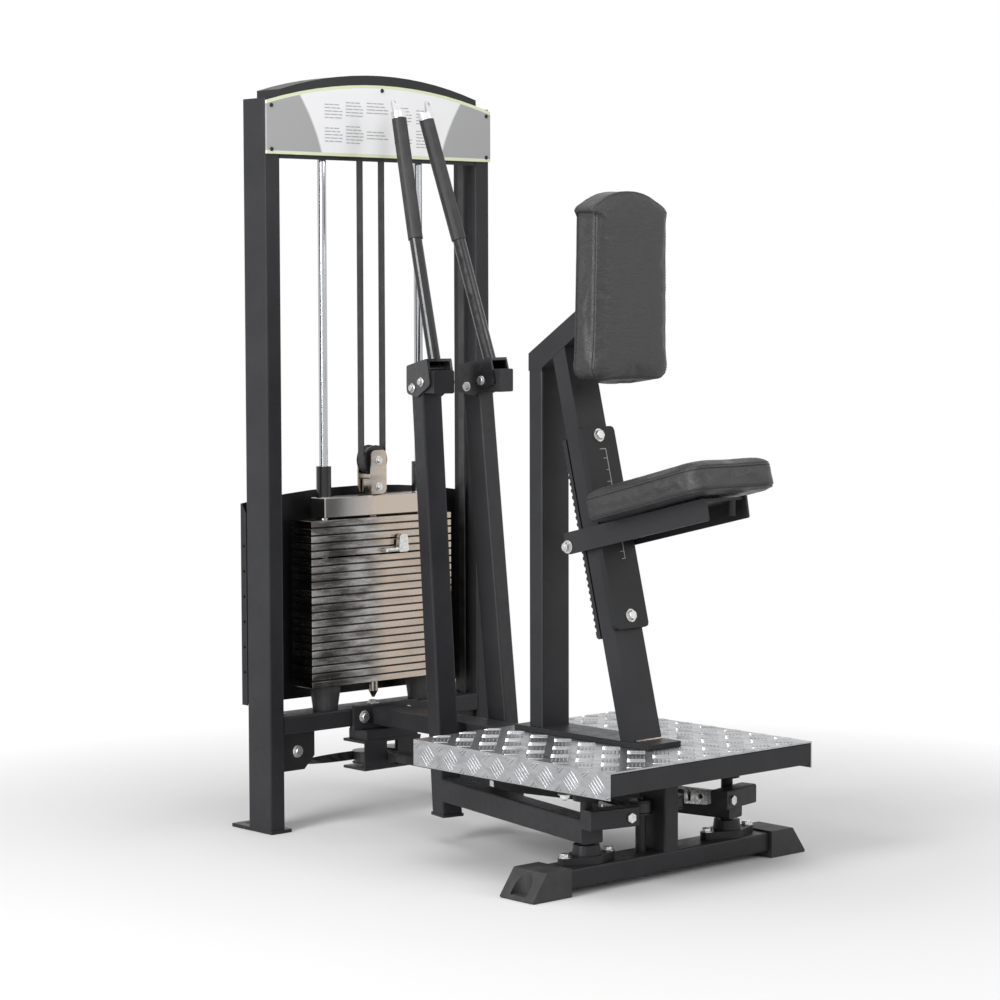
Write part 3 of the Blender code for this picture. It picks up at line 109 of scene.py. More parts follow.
class Finish:
    """Writes one material's nodes around its Principled shader."""

    def __init__(self, name, colour, roughness, metallic=0.0, **sockets):
        self.material = bpy.data.materials.new(name)
        self.material.use_nodes = True
        self.tree = self.material.node_tree
        self.shader = self.tree.nodes["Principled BSDF"]
        self.shader.inputs["Base Color"].default_value = (*colour, 1)
        self.shader.inputs["Roughness"].default_value = roughness
        self.shader.inputs["Metallic"].default_value = metallic
        for socket, value in sockets.items():
            self.shader.inputs[socket].default_value = value
        self.normal = None

    def node(self, kind, inputs=None, **settings):
        """A node with its inputs set or linked."""
        made = self.tree.nodes.new(kind)
        for name, value in settings.items():
            setattr(made, name, value)
        for name, value in (inputs or {}).items():
            if isinstance(value, bpy.types.NodeSocket):
                self.tree.links.new(value, made.inputs[name])
            else:
                made.inputs[name].default_value = value
        return made

    def place(self, stretch=(1, 1, 1)):
        """Object coordinates, stretched where a grain runs one way."""
        coordinates = self.node("ShaderNodeTexCoord").outputs["Object"]
        return self.node("ShaderNodeMapping", {"Vector": coordinates, "Scale": stretch}).outputs["Vector"]

    def noise(self, scale, detail=3.0, roughness=0.5, stretch=(1, 1, 1), distortion=0.0):
        """Soft clouds, from 0 to 1."""
        inputs = {"Vector": self.place(stretch), "Scale": scale, "Detail": detail}
        inputs |= {"Roughness": roughness, "Distortion": distortion}
        return self.node("ShaderNodeTexNoise", inputs).outputs["Fac"]

    def cells(self, scale):
        """The distance to the edge of the nearest cell."""
        inputs = {"Vector": self.place(), "Scale": scale}
        return self.node("ShaderNodeTexVoronoi", inputs, feature="DISTANCE_TO_EDGE").outputs["Distance"]

    def span(self, value, low, high, to_low, to_high):
        """A value mapped from one range to another, clamped."""
        inputs = {"Value": value, 1: low, 2: high, 3: to_low, 4: to_high}
        return self.node("ShaderNodeMapRange", inputs).outputs["Result"]

    def maths(self, operation, first, second=0.5, third=0.0):
        """One step of arithmetic on values."""
        return self.node("ShaderNodeMath", {0: first, 1: second, 2: third}, operation=operation).outputs[0]

    def axis(self, name):
        """One coordinate of the piece."""
        return self.node("ShaderNodeSeparateXYZ", {0: self.place()}).outputs[name]

    def mix(self, share, first, second):
        """A colour between two, by a share from 0 to 1."""
        made = self.node("ShaderNodeMix", data_type="RGBA")
        for socket, value in ((0, share), (6, first), (7, second)):
            if isinstance(value, bpy.types.NodeSocket):
                self.tree.links.new(value, made.inputs[socket])
            else:
                made.inputs[socket].default_value = value if socket == 0 else (*value, 1)
        return made.outputs[2]

    def bump(self, height, distance, strength):
        """Raises the surface by a height, over what is raised already."""
        inputs = {"Height": height, "Distance": distance, "Strength": strength}
        if self.normal:
            inputs["Normal"] = self.normal
        self.normal = self.node("ShaderNodeBump", inputs).outputs["Normal"]
        self.tree.links.new(self.normal, self.shader.inputs["Normal"])

    def feed(self, socket, value):
        """Links a value to the shader."""
        self.tree.links.new(value, self.shader.inputs[socket])


def powder_coat(name="powder coat", colour=(0.017, 0.0172, 0.0190)):
    """Fine-textured dark coat, slightly paler where it thins."""
    finish = Finish(name, colour, 0.42, **{"Specular IOR Level": 0.26})
    blotch = finish.noise(9.0, 4.0)
    paler = tuple(1.35 * part for part in colour)
    finish.feed("Base Color", finish.mix(finish.span(blotch, 0.35, 0.7, 0, 1), colour, paler))
    finish.feed("Roughness", finish.span(finish.noise(60.0, 3.0), 0.3, 0.7, 0.36, 0.50))
    finish.bump(finish.noise(1400.0, 2.0), 0.00012, 0.35)
    return finish.material


def ground_steel(name, across=(1, 1, 60), plates=False):
    """Ground and polished plate with faint stains; a painted reflection makes the left half dark and streaky
    and the right half warm, and on the stack painted shade fills the gaps between plates.
    """
    finish = Finish(name, (0.60, 0.585, 0.565), 0.20, metallic=1.0)
    lines = finish.noise(34.0, 5.0, 0.6, stretch=across)
    stain = finish.noise(11.0, 5.0, 0.6, stretch=(1, 1, 4))
    # Painted reflection: a dark stained grey for the left half and a warm brown stained tone for the right,
    # picked by X below; the stain noise is real mottle
    stains_and_dark_reflection = finish.mix(finish.span(stain, 0.40, 0.62, 0, 1), (0.40, 0.39, 0.38), (0.13, 0.12, 0.115))
    stains_and_warm_reflection = finish.mix(finish.span(stain, 0.35, 0.75, 0, 1), (0.52, 0.44, 0.37), (0.40, 0.33, 0.27))
    side = finish.maths("MULTIPLY_ADD", stain, 0.06, finish.axis("X"))
    tint = finish.mix(finish.span(side, -0.01, 0.045, 0, 1), stains_and_dark_reflection, stains_and_warm_reflection)
    finish.feed("Roughness", finish.span(lines, 0.3, 0.7, 0.13, 0.30))
    if plates:
        # Painted shade: a near-black, non-metal band at every plate pitch up the stack, where the gaps between
        # plates lie in shade
        over = finish.maths("SUBTRACT", finish.axis("Z"), STACK_BASE)
        step = finish.maths("FLOORED_MODULO", over, PLATE_PITCH)
        painted_gap_shade = finish.maths("GREATER_THAN", step, PLATE_THICK)
        tint = finish.mix(painted_gap_shade, tint, (0.004, 0.004, 0.004))
        finish.feed("Metallic", finish.maths("SUBTRACT", 1.0, painted_gap_shade))
    finish.feed("Base Color", tint)
    finish.bump(lines, 0.00008, 0.35)
    return finish.material


def sleeve_steel():
    """The head block's ground steel with a painted reflection, grey on the left and warm brown on the right,
    and above its top the two black sleeves.
    """
    finish = Finish("head block", (0.50, 0.46, 0.42), 0.20, metallic=1.0)
    above = finish.maths("GREATER_THAN", finish.axis("Z"), HEAD_BLOCK_TOP)
    stain = finish.noise(11.0, 5.0, 0.6, stretch=(3, 1, 1))
    # Painted reflection: the block's steel turns from grey on the left to warm brown on the right, by X with a
    # little stain noise
    side = finish.maths("MULTIPLY_ADD", stain, 0.08, finish.axis("X"))
    tint = finish.mix(finish.span(side, -0.03, 0.03, 0, 1), (0.36, 0.35, 0.34), (0.52, 0.45, 0.39))
    finish.feed("Base Color", finish.mix(above, tint, (0.010, 0.010, 0.011)))
    finish.feed("Metallic", finish.maths("SUBTRACT", 1.0, above))
    finish.bump(stain, 0.00005, 0.2)
    return finish.material


def handle_coat():
    """Glossy black bar whose end above the grip is bright plated steel."""
    finish = Finish("handle bar", (0.016, 0.016, 0.018), 0.22)
    end = finish.maths("GREATER_THAN", finish.axis("Z"), GRIP_TOP)
    finish.feed("Base Color", finish.mix(end, (0.016, 0.016, 0.018), (0.78, 0.78, 0.80)))
    finish.feed("Metallic", end)
    finish.feed("Roughness", finish.span(finish.noise(60.0, 3.0), 0.3, 0.7, 0.16, 0.30))
    return finish.material


def chrome():
    """Polished rods with a few long smears."""
    finish = Finish("polished chrome", (0.46, 0.47, 0.49), 0.07, metallic=1.0)
    finish.feed("Roughness", finish.span(finish.noise(40.0, 4.0, stretch=(1, 1, 0.1)), 0.3, 0.8, 0.05, 0.16))
    return finish.material


def zinc_plate():
    """Bright zinc with a fine mottle."""
    finish = Finish("zinc plate", (0.66, 0.66, 0.65), 0.30, metallic=1.0)
    mottle = finish.noise(160.0, 3.0)
    tint = finish.mix(finish.span(mottle, 0.35, 0.7, 0, 1), (0.72, 0.72, 0.71), (0.52, 0.52, 0.50))
    finish.feed("Base Color", tint)
    finish.feed("Roughness", finish.span(mottle, 0.3, 0.7, 0.22, 0.38))
    finish.bump(finish.noise(500.0), 0.0001, 0.2)
    return finish.material


def tread_aluminium():
    """Rolled aluminium deck: bright, with short scuffs."""
    finish = Finish("tread aluminium", (0.44, 0.45, 0.46), 0.36, metallic=1.0)
    scuff = finish.noise(55.0, 6.0, 0.65, stretch=(1, 0.35, 1), distortion=0.6)
    tint = finish.mix(finish.span(scuff, 0.42, 0.72, 0, 1), (0.46, 0.465, 0.475), (0.32, 0.325, 0.335))
    finish.feed("Base Color", tint)
    finish.feed("Roughness", finish.span(scuff, 0.3, 0.75, 0.26, 0.46))
    finish.bump(finish.noise(700.0, 3.0), 0.0001, 0.25)
    return finish.material


def black_rubber(name="black rubber", colour=(0.016, 0.016, 0.017), roughness=0.62):
    """Matt black with a bloom of dust."""
    finish = Finish(name, colour, roughness)
    dust = finish.noise(30.0, 5.0)
    finish.feed("Base Color", finish.mix(finish.span(dust, 0.4, 0.75, 0, 1), colour, (0.040, 0.039, 0.038)))
    finish.feed("Roughness", finish.span(dust, 0.3, 0.7, roughness - 0.08, roughness + 0.10))
    finish.bump(finish.noise(900.0, 2.0), 0.00015, 0.4)
    return finish.material


def black_plastic():
    """Moulded black with a soft gloss."""
    finish = Finish("moulded plastic", (0.014, 0.014, 0.015), 0.32)
    finish.feed("Roughness", finish.span(finish.noise(80.0, 3.0), 0.3, 0.7, 0.26, 0.40))
    finish.bump(finish.noise(1100.0, 2.0), 0.00008, 0.3)
    return finish.material


def pad_leather():
    """Black upholstery: small grain cells over long soft creases."""
    finish = Finish("pad leather", (0.016, 0.016, 0.018), 0.40, **{"Specular IOR Level": 0.55})
    grain = finish.cells(620.0)
    crease = finish.noise(26.0, 5.0, 0.55, stretch=(1.0, 1.0, 2.4), distortion=1.6)
    folds = finish.span(finish.maths("ABSOLUTE", finish.maths("SUBTRACT", crease, 0.5)), 0.0, 0.07, 0.0, 1.0)
    tint = finish.mix(finish.span(crease, 0.3, 0.7, 0, 1), (0.013, 0.013, 0.014), (0.024, 0.024, 0.026))
    finish.feed("Base Color", tint)
    finish.feed("Roughness", finish.span(crease, 0.3, 0.7, 0.34, 0.50))
    finish.bump(folds, 0.0009, 0.40)
    finish.bump(finish.span(grain, 0.0, 0.12, 0.0, 1.0), 0.00022, 0.45)
    return finish.material


def sewing_thread():
    """Dark twisted thread."""
    finish = Finish("sewing thread", (0.030, 0.030, 0.032), 0.60)
    finish.bump(finish.noise(1500.0, 2.0, stretch=(1, 1, 3)), 0.0002, 0.6)
    return finish.material


def board_print():
    """The board's white face, with two plain grey end fields and a pale green line along each long edge."""
    finish = Finish("board print", (0.80, 0.80, 0.79), 0.38)
    x, z = finish.axis("X"), finish.axis("Z")
    white, grey, green = (0.84, 0.84, 0.85), (0.36, 0.36, 0.365), (0.70, 0.76, 0.50)
    field_rim, line_rim = (0.62, 0.62, 0.62), (0.70, 0.72, 0.66)
    drop = finish.maths("MULTIPLY", finish.maths("MULTIPLY", x, x), -BOARD_ARC)
    below_top = finish.maths("SUBTRACT", finish.maths("ADD", drop, BOARD_TOP), z)
    above_low = finish.maths("SUBTRACT", z, BOARD_LOW)
    rise = finish.maths("DIVIDE", above_low, BOARD_SHOULDER - BOARD_LOW)
    lean = finish.maths("MULTIPLY_ADD", rise, 0.022, 0.030)
    field_edge = finish.maths("MULTIPLY_ADD", rise, lean, 0.174)
    field = finish.maths("SUBTRACT", finish.maths("ABSOLUTE", x), field_edge)
    colour = finish.mix(finish.maths("GREATER_THAN", field, 0.0), white, grey)
    rim = finish.maths("ABSOLUTE", finish.maths("SUBTRACT", field, -0.0016))
    colour = finish.mix(finish.maths("LESS_THAN", rim, 0.0016), colour, field_rim)
    for distance in (below_top, above_low):
        colour = finish.mix(finish.maths("LESS_THAN", distance, 0.0055), colour, green)
        line = finish.maths("ABSOLUTE", finish.maths("SUBTRACT", distance, 0.0063))
        colour = finish.mix(finish.maths("LESS_THAN", line, 0.0008), colour, line_rim)
    finish.feed("Base Color", colour)
    finish.feed("Roughness", finish.span(finish.noise(30.0), 0.3, 0.7, 0.33, 0.44))
    return finish.material


def ink(name, colour):
    """Print: one colour with a slight mottle."""
    finish = Finish(name, colour, 0.5)
    mottle = finish.noise(400.0, 3.0)
    darker = tuple(0.85 * part for part in colour)
    finish.feed("Base Color", finish.mix(finish.span(mottle, 0.3, 0.7, 0, 1), colour, darker))
    finish.bump(mottle, 0.00006, 0.3)
    return finish.material


MADE = {}


def finish_of(name):
    """A finish by name, made once."""
    makers = {
        "coat": powder_coat,
        "deep coat": lambda: powder_coat("deep coat", (0.011, 0.0112, 0.0125)),
        "plates": lambda: ground_steel("ground plates", (1, 1, 60), plates=True),
        "block steel": lambda: ground_steel("block steel", (60, 1, 1)),
        "head block": sleeve_steel,
        "handle": handle_coat,
        "chrome": chrome,
        "zinc": zinc_plate,
        "tread": tread_aluminium,
        "rubber": black_rubber,
        "grip": lambda: black_rubber("grip rubber", (0.013, 0.013, 0.0135), 0.55),
        "belt": lambda: black_rubber("drive belt", (0.012, 0.012, 0.013), 0.50),
        "plastic": black_plastic,
        "leather": pad_leather,
        "thread": sewing_thread,
        "board": board_print,
        "white ink": lambda: ink("white ink", (0.60, 0.60, 0.58)),
        "grey ink": lambda: ink("grey ink", (0.42, 0.42, 0.43)),
    }
    if name not in MADE:
        MADE[name] = makers[name]()
    return MADE[name]


NODE_FINISHES = {
    "plates": ("resting_plates", "lifted_plates"),
    "block steel": ("selector_rod", "stack_pulley_bracket"),
    "head block": ("top_plate",),
    "handle": ("left_handle_bar", "right_handle_bar"),
    "chrome": ("left_guide_rod", "right_guide_rod"),
    "zinc": ("selector_pin", "left_buckle", "right_buckle"),
    "tread": ("tread_plate",),
    "board": ("placard",),
    "rubber": ("left_bumper", "right_bumper", "left_foot_cap", "right_foot_cap"),
    "plastic": ("seat_roller", "stack_pulley"),
    "deep coat": ("rear_shroud", "wear_plate", "left_lower_bearing", "right_lower_bearing"),
}


ENDING_FINISHES = {
    "belt": "belt",
    "pulley": "plastic",
    "roller": "plastic",
    "grip": "grip",
    "upper_bearing": "deep coat",
}


def wear_finish(piece, material):
    """Gives a piece one material."""
    piece.data.materials.clear()
    piece.data.materials.append(material)


def dress_nodes():
    """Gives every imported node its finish."""
    chosen = {node: name for name, nodes in NODE_FINISHES.items() for node in nodes}
    for node, piece in NODES.items():
        ended = [name for ending, name in ENDING_FINISHES.items() if node.endswith(ending)]
        wear_finish(piece, finish_of(chosen.get(node, (ended or ["coat"])[0])))


def link(name, mesh, finish, body):
    """Puts a finished mesh in the scene on its body, with its finish."""
    piece = bpy.data.objects.new(name.replace(" ", "_"), mesh)
    bpy.context.scene.collection.objects.link(piece)
    if finish:
        wear_finish(piece, finish_of(finish))
    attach(piece, body)
    return piece


def mesh_of(name, shape, smooth=35.0):
    """Closes a bmesh into a mesh with outward faces and soft edges under an angle."""
    bmesh.ops.remove_doubles(shape, verts=shape.verts, dist=0.000002)
    bmesh.ops.recalc_face_normals(shape, faces=shape.faces)
    mesh = bpy.data.meshes.new(name)
    shape.to_mesh(mesh)
    shape.free()
    if smooth:
        mesh.shade_smooth()
        mesh.set_sharp_from_angle(angle=math.radians(smooth))
    return mesh


def joined_rings(shape, rings):
    """Adds the faces between each ring of points and the next."""
    count = len(rings[0])
    for ring, following in zip(rings, rings[1:]):
        for index in range(count):
            after = (index + 1) % count
            shape.faces.new((ring[index], ring[after], following[after], following[index]))


def lathe(shape, profile, steps=24, place=None, corners=None):
    """Adds a turned body to a bmesh: (radius, height) from foot to top, over round or cornered steps."""
    place = place or Matrix.Identity(4)
    rings = []
    for radius, height in profile:
        ring = []
        for step in range(steps):
            turn = 2 * math.pi * step / steps
            reach = radius * (corners(turn) if corners else 1.0)
            spot = Vector((reach * math.cos(turn), reach * math.sin(turn), height))
            ring.append(shape.verts.new(place @ spot))
        rings.append(ring)
    joined_rings(shape, rings)
    shape.faces.new(rings[0][::-1])
    shape.faces.new(rings[-1])


def slab(shape, low, high, bevel=0.0):
    """Adds a box between two corners to a bmesh, with broken edges."""
    low, high = Vector(low), Vector(high)
    made = bmesh.ops.create_cube(shape, size=1)["verts"]
    sized = Matrix.Translation((low + high) / 2) @ Matrix.Diagonal((*(high - low), 1))
    bmesh.ops.transform(shape, matrix=sized, verts=made)
    if bevel:
        edges = list({edge for vert in made for edge in vert.link_edges})
        bmesh.ops.bevel(shape, geom=edges, offset=bevel, segments=2, profile=0.7, affect="EDGES")


def socket_id(tree, name):
    """The identifier of a named input of a node tree, which is what a modifier's values go by."""
    for item in tree.interface.items_tree:
        if item.item_type == "SOCKET" and item.in_out == "INPUT" and item.name == name:
            return item.identifier
    raise RuntimeError(f"{tree.name} has no input called {name}")


def tree_of(name, inputs, steps, joins):
    """A Geometry Nodes tree, made once, from named inputs, its nodes by key and its links.

    Each step is (kind, settings, values), and each join reads "key.Socket > key.Socket".
    """
    tree = bpy.data.node_groups.get(name)
    if tree:
        return tree
    tree = bpy.data.node_groups.new(name, "GeometryNodeTree")
    for label, kind in {"Geometry": "Geometry", **inputs, "Finish": "Material"}.items():
        tree.interface.new_socket(label, in_out="INPUT", socket_type=f"NodeSocket{kind}")
    tree.interface.new_socket("Geometry", in_out="OUTPUT", socket_type="NodeSocketGeometry")
    made = {"in": tree.nodes.new("NodeGroupInput"), "out": tree.nodes.new("NodeGroupOutput")}
    for key, (kind, settings, values) in steps.items():
        made[key] = tree.nodes.new(kind)
        for setting, value in settings.items():
            setattr(made[key], setting, value)
        for socket, value in values.items():
            made[key].inputs[socket].default_value = value
    for join in joins:
        (start, leaving), (end, entering) = (part.split(".") for part in join.split(" > "))
        tree.links.new(made[start].outputs[leaving], made[end].inputs[entering])
    return tree


PAINTED = ("GeometryNodeSetMaterial", {}, {})
REALIZED = ("GeometryNodeRealizeInstances", {}, {})
INSTANCES = ("GeometryNodeInstanceOnPoints", {}, {})
PART = ("GeometryNodeObjectInfo", {}, {})
PAINT_JOINS = ["in.Finish > paint.Material", "paint.Geometry > out.Geometry"]
COPY_JOINS = [
    "in.Part > part.Object",
    "part.Geometry > place.Instance",
    "place.Instances > real.Geometry",
    "real.Geometry > paint.Geometry",
    *PAINT_JOINS,
]


def copies_tree():
    """A copy of one part at each point, its Z along the point's facing, turned by its roll."""
    steps = {
        "part": PART,
        "facing": ("GeometryNodeInputNamedAttribute", {"data_type": "FLOAT_VECTOR"}, {"Name": "facing"}),
        "roll": ("GeometryNodeInputNamedAttribute", {"data_type": "FLOAT"}, {"Name": "roll"}),
        "align": ("FunctionNodeAlignRotationToVector", {"axis": "Z"}, {}),
        "around": ("ShaderNodeCombineXYZ", {}, {}),
        "turn": ("FunctionNodeEulerToRotation", {}, {}),
        "both": ("FunctionNodeRotateRotation", {"rotation_space": "LOCAL"}, {}),
        "place": INSTANCES,
        "real": REALIZED,
        "paint": PAINTED,
    }
    joins = [
        "facing.Attribute > align.Vector",
        "roll.Attribute > around.Z",
        "around.Vector > turn.Euler",
        "align.Rotation > both.Rotation",
        "turn.Rotation > both.Rotate By",
        "both.Rotation > place.Rotation",
        "in.Geometry > place.Points",
        "in.Size > place.Scale",
        *COPY_JOINS,
    ]
    return tree_of("part copies", {"Part": "Object", "Size": "Float"}, steps, joins)


def line_tree():
    """A copy of one part at even steps along a line of edges, its X along the line."""
    steps = {
        "part": PART,
        "curve": ("GeometryNodeMeshToCurve", {}, {}),
        "even": ("GeometryNodeResampleCurve", {"mode": "LENGTH"}, {}),
        "tangent": ("GeometryNodeInputTangent", {}, {}),
        "align": ("FunctionNodeAlignRotationToVector", {"axis": "X"}, {}),
        "place": INSTANCES,
        "real": REALIZED,
        "paint": PAINTED,
    }
    joins = [
        "in.Geometry > curve.Mesh",
        "curve.Curve > even.Curve",
        "in.Step > even.Length",
        "even.Curve > place.Points",
        "tangent.Tangent > align.Vector",
        "align.Rotation > place.Rotation",
        *COPY_JOINS,
    ]
    return tree_of("parts along a line", {"Part": "Object", "Step": "Float"}, steps, joins)


def cord_tree():
    """A round cord that follows a line of edges."""
    steps = {
        "curve": ("GeometryNodeMeshToCurve", {}, {}),
        "profile": ("GeometryNodeCurvePrimitiveCircle", {}, {"Resolution": 10}),
        "sweep": ("GeometryNodeCurveToMesh", {}, {"Fill Caps": True}),
        "soft": ("GeometryNodeSetShadeSmooth", {}, {}),
        "real": REALIZED,
        "paint": PAINTED,
    }
    joins = [
        "in.Geometry > curve.Mesh",
        "in.Radius > profile.Radius",
        "curve.Curve > sweep.Curve",
        "profile.Curve > sweep.Profile Curve",
        "sweep.Mesh > soft.Geometry",
        "soft.Geometry > real.Geometry",
        "real.Geometry > paint.Geometry",
        *PAINT_JOINS,
    ]
    return tree_of("cord along a line", {"Radius": "Float"}, steps, joins)


def grown(holder, tree, values):
    """Runs a tree on an object and returns its result as a plain mesh; the object goes."""
    step = holder.modifiers.new(tree.name, "NODES")
    step.node_group = tree
    for name, value in values.items():
        step[socket_id(tree, name)] = value
    bpy.context.view_layer.update()
    graph = bpy.context.evaluated_depsgraph_get()
    mesh = bpy.data.meshes.new_from_object(holder.evaluated_get(graph), depsgraph=graph)
    bpy.data.objects.remove(holder)
    return mesh


def copies(name, part, spots, finish, body):
    """One piece made of a part's copies: spots are (place, facing, roll)."""
    points = bpy.data.meshes.new(name + " points")
    points.from_pydata([tuple(place) for place, _, _ in spots], [], [])
    points.attributes.new("facing", "FLOAT_VECTOR", "POINT")
    points.attributes.new("roll", "FLOAT", "POINT")
    facing, roll = points.attributes["facing"], points.attributes["roll"]
    for index, (_, way, turn) in enumerate(spots):
        facing.data[index].vector = Vector(way).normalized()
        roll.data[index].value = turn
    holder = bpy.data.objects.new(name + " points", points)
    master = bpy.data.objects.new(name + " part", part)
    for made in (holder, master):
        bpy.context.scene.collection.objects.link(made)
    material = finish_of(finish)
    mesh = grown(holder, copies_tree(), {"Part": master, "Size": 1.0, "Finish": material})
    bpy.data.objects.remove(master)
    mesh.name = name
    return link(name, mesh, None, body)


def hexagon(turn):
    """How far a hexagon's side lies from its middle, against its corner, at an angle."""
    return math.cos(math.pi / 6) / math.cos((turn % (math.pi / 3)) - math.pi / 6)


def hex_bolt(wide, tall, washer):
    """A hex head with chamfered corners on a washer, standing on Z = 0."""
    shape = bmesh.new()
    lathe(shape, [(washer, 0.0), (washer, 0.0012), (washer - 0.0006, 0.0018)], 24)
    across = wide / 2 / math.cos(math.pi / 6)
    lathe(shape, [(across, 0.0016), (across, tall - 0.0006)], 24, corners=hexagon)
    crown = [(across * 0.985, tall - 0.0007), (across * 0.90, tall + 0.0006), (across * 0.55, tall + 0.0007)]
    lathe(shape, crown, 24, corners=lambda turn: 0.5 * hexagon(turn) + 0.45)
    return mesh_of("hex bolt", shape)


def lock_nut(wide, tall, washer, thread):
    """A nut with its nylon collar and the bolt's end showing through, on a washer."""
    shape = bmesh.new()
    lathe(shape, [(washer, 0.0), (washer, 0.0012), (washer - 0.0006, 0.0018)], 24)
    across = wide / 2 / math.cos(math.pi / 6)
    lathe(shape, [(across, 0.0016), (across, tall * 0.72)], 24, corners=hexagon)
    lathe(shape, [(across * 0.86, tall * 0.70), (across * 0.84, tall), (across * 0.62, tall + 0.0007)], 24)
    turns = [(thread * (1.0 if step % 2 else 0.90), tall - 0.001 + 0.0006 * step) for step in range(7)]
    lathe(shape, turns, 16)
    return mesh_of("lock nut", shape)


def button_screw(radius, tall):
    """A low round head with a hexagon socket."""
    shape = bmesh.new()
    rim = [(radius, 0), (radius * 0.96, tall * 0.45), (radius * 0.75, tall * 0.85), (radius * 0.46, tall)]
    lathe(shape, rim, 20)
    for face in list(shape.faces):
        if len(face.verts) == 20 and face.calc_center_median().z > tall * 0.9:
            bmesh.ops.inset_individual(shape, faces=[face], thickness=radius * 0.10)
            bmesh.ops.translate(shape, verts=list(face.verts), vec=(0, 0, -tall * 0.55))
    return mesh_of("button screw", shape)


def line_holder(name, points, closed):
    """A bare line of edges through points, for the trees above."""
    count = len(points)
    edges = [(index, (index + 1) % count) for index in range(count if closed else count - 1)]
    mesh = bpy.data.meshes.new(name)
    mesh.from_pydata([tuple(point) for point in points], edges, [])
    holder = bpy.data.objects.new(name, mesh)
    bpy.context.scene.collection.objects.link(holder)
    return holder


def cord(name, points, radius, finish, body, closed=False):
    """One piece: a round cord or bead through points."""
    holder = line_holder(name + " line", points, closed)
    mesh = grown(holder, cord_tree(), {"Radius": radius, "Finish": finish_of(finish)})
    mesh.name = name
    return link(name, mesh, None, body)


def along_loop(name, part, points, step, finish, body):
    """One piece: a part's copies at even steps round a loop of points."""
    holder = line_holder(name + " line", points, True)
    master = bpy.data.objects.new(name + " part", part)
    bpy.context.scene.collection.objects.link(master)
    mesh = grown(holder, line_tree(), {"Part": master, "Step": step, "Finish": finish_of(finish)})
    bpy.data.objects.remove(master)
    mesh.name = name
    return link(name, mesh, None, body)


PAD_BACK_Y = -0.7348 + BACK_SHIFT
SEAT_PAD_BASE = Vector((0, -0.7995 + BACK_SHIFT, 0.7265))
SEAT_PAD_FORWARD = Vector((0, -0.9700, 0.2430)).normalized()
CHEST_FRAME = Matrix.Translation((0, PAD_BACK_Y, 0)) @ Matrix((X_AXIS, Z_AXIS, -Y_AXIS)).transposed().to_4x4()
SEAT_FRAME = (
    Matrix.Translation(SEAT_PAD_BASE)
    @ Matrix((-X_AXIS, SEAT_PAD_FORWARD, (-X_AXIS).cross(SEAT_PAD_FORWARD))).transposed().to_4x4()
)


PIPING, STITCH = 0.0015, 0.0062
WEAVE, FILL_FRAMES, FILL_PRESSURE, FILL_REACH = 0.005, 20, 4.0, 0.0050
TAKE_IN, PLAN_STEP = 0.0022, 0.006
SEAM_WIDE, SEAM_REACH, SEAM_DEEP, CREASE_DEEP = 0.0035, 0.030, 0.0016, 0.0007
CREASE_SEED = 7


def soft_outline(corners, radii, arch=None):
    """Points round a pad's plan: rounded corners, and an arch in place of the top edge if one is given."""
    outline = []
    count = len(corners)
    for index, (corner, radius) in enumerate(zip(corners, radii)):
        corner = Vector(corner)
        before = (Vector(corners[index - 1]) - corner).normalized()
        after = (Vector(corners[(index + 1) % count]) - corner).normalized()
        if radius == 0:
            outline.append(corner)
            continue
        half = before.angle(after) / 2
        centre = corner + (before + after).normalized() * radius / math.sin(half)
        start, end = corner + before * radius / math.tan(half), corner + after * radius / math.tan(half)
        for turn in range(7):
            way = (start - centre).lerp(end - centre, turn / 6)
            outline.append(centre + way.normalized() * radius)
    if arch:
        half_width, end_top, rise = arch
        radius = (half_width**2 + rise**2) / (2 * rise)
        reach = math.asin(half_width / radius)
        for turn in range(1, 24):
            angle = reach - 2 * reach * turn / 24
            y = end_top + rise - radius + radius * math.cos(angle)
            outline.append(Vector((radius * math.sin(angle), y)))
    evened = []
    for index, point in enumerate(outline):
        after = outline[(index + 1) % len(outline)]
        parts = max(1, round((after - point).length / PLAN_STEP))
        evened += [point.lerp(after, part / parts) for part in range(parts)]
    return evened


def pad_shell(name, outline, rings, frame):
    """The sewn shape before it is filled: rings of (inset, height) over the plan, closed at both faces."""
    shape = bmesh.new()
    middle = sum(outline, Vector((0, 0))) / len(outline)
    half_x = max(abs(point.x - middle.x) for point in outline)
    half_y = max(abs(point.y - middle.y) for point in outline)
    lofted = []
    for inset, height in rings:
        ring = []
        for point in outline:
            way = point - middle
            inset_x, inset_y = ((inset + TAKE_IN) / half for half in (half_x, half_y))
            inner = middle + Vector((way.x * (1 - inset_x), way.y * (1 - inset_y)))
            ring.append(shape.verts.new(frame @ Vector((inner.x, inner.y, height))))
        lofted.append(ring)
    joined_rings(shape, lofted)
    shape.faces.new(lofted[0])
    shape.faces.new(lofted[-1])
    return mesh_of(name, shape, smooth=0)


def applied(piece):
    """The piece's mesh with its modifiers in it."""
    bpy.context.view_layer.update()
    graph = bpy.context.evaluated_depsgraph_get()
    mesh = bpy.data.meshes.new_from_object(piece.evaluated_get(graph), depsgraph=graph)
    piece.modifiers.clear()
    piece.data = mesh
    return mesh


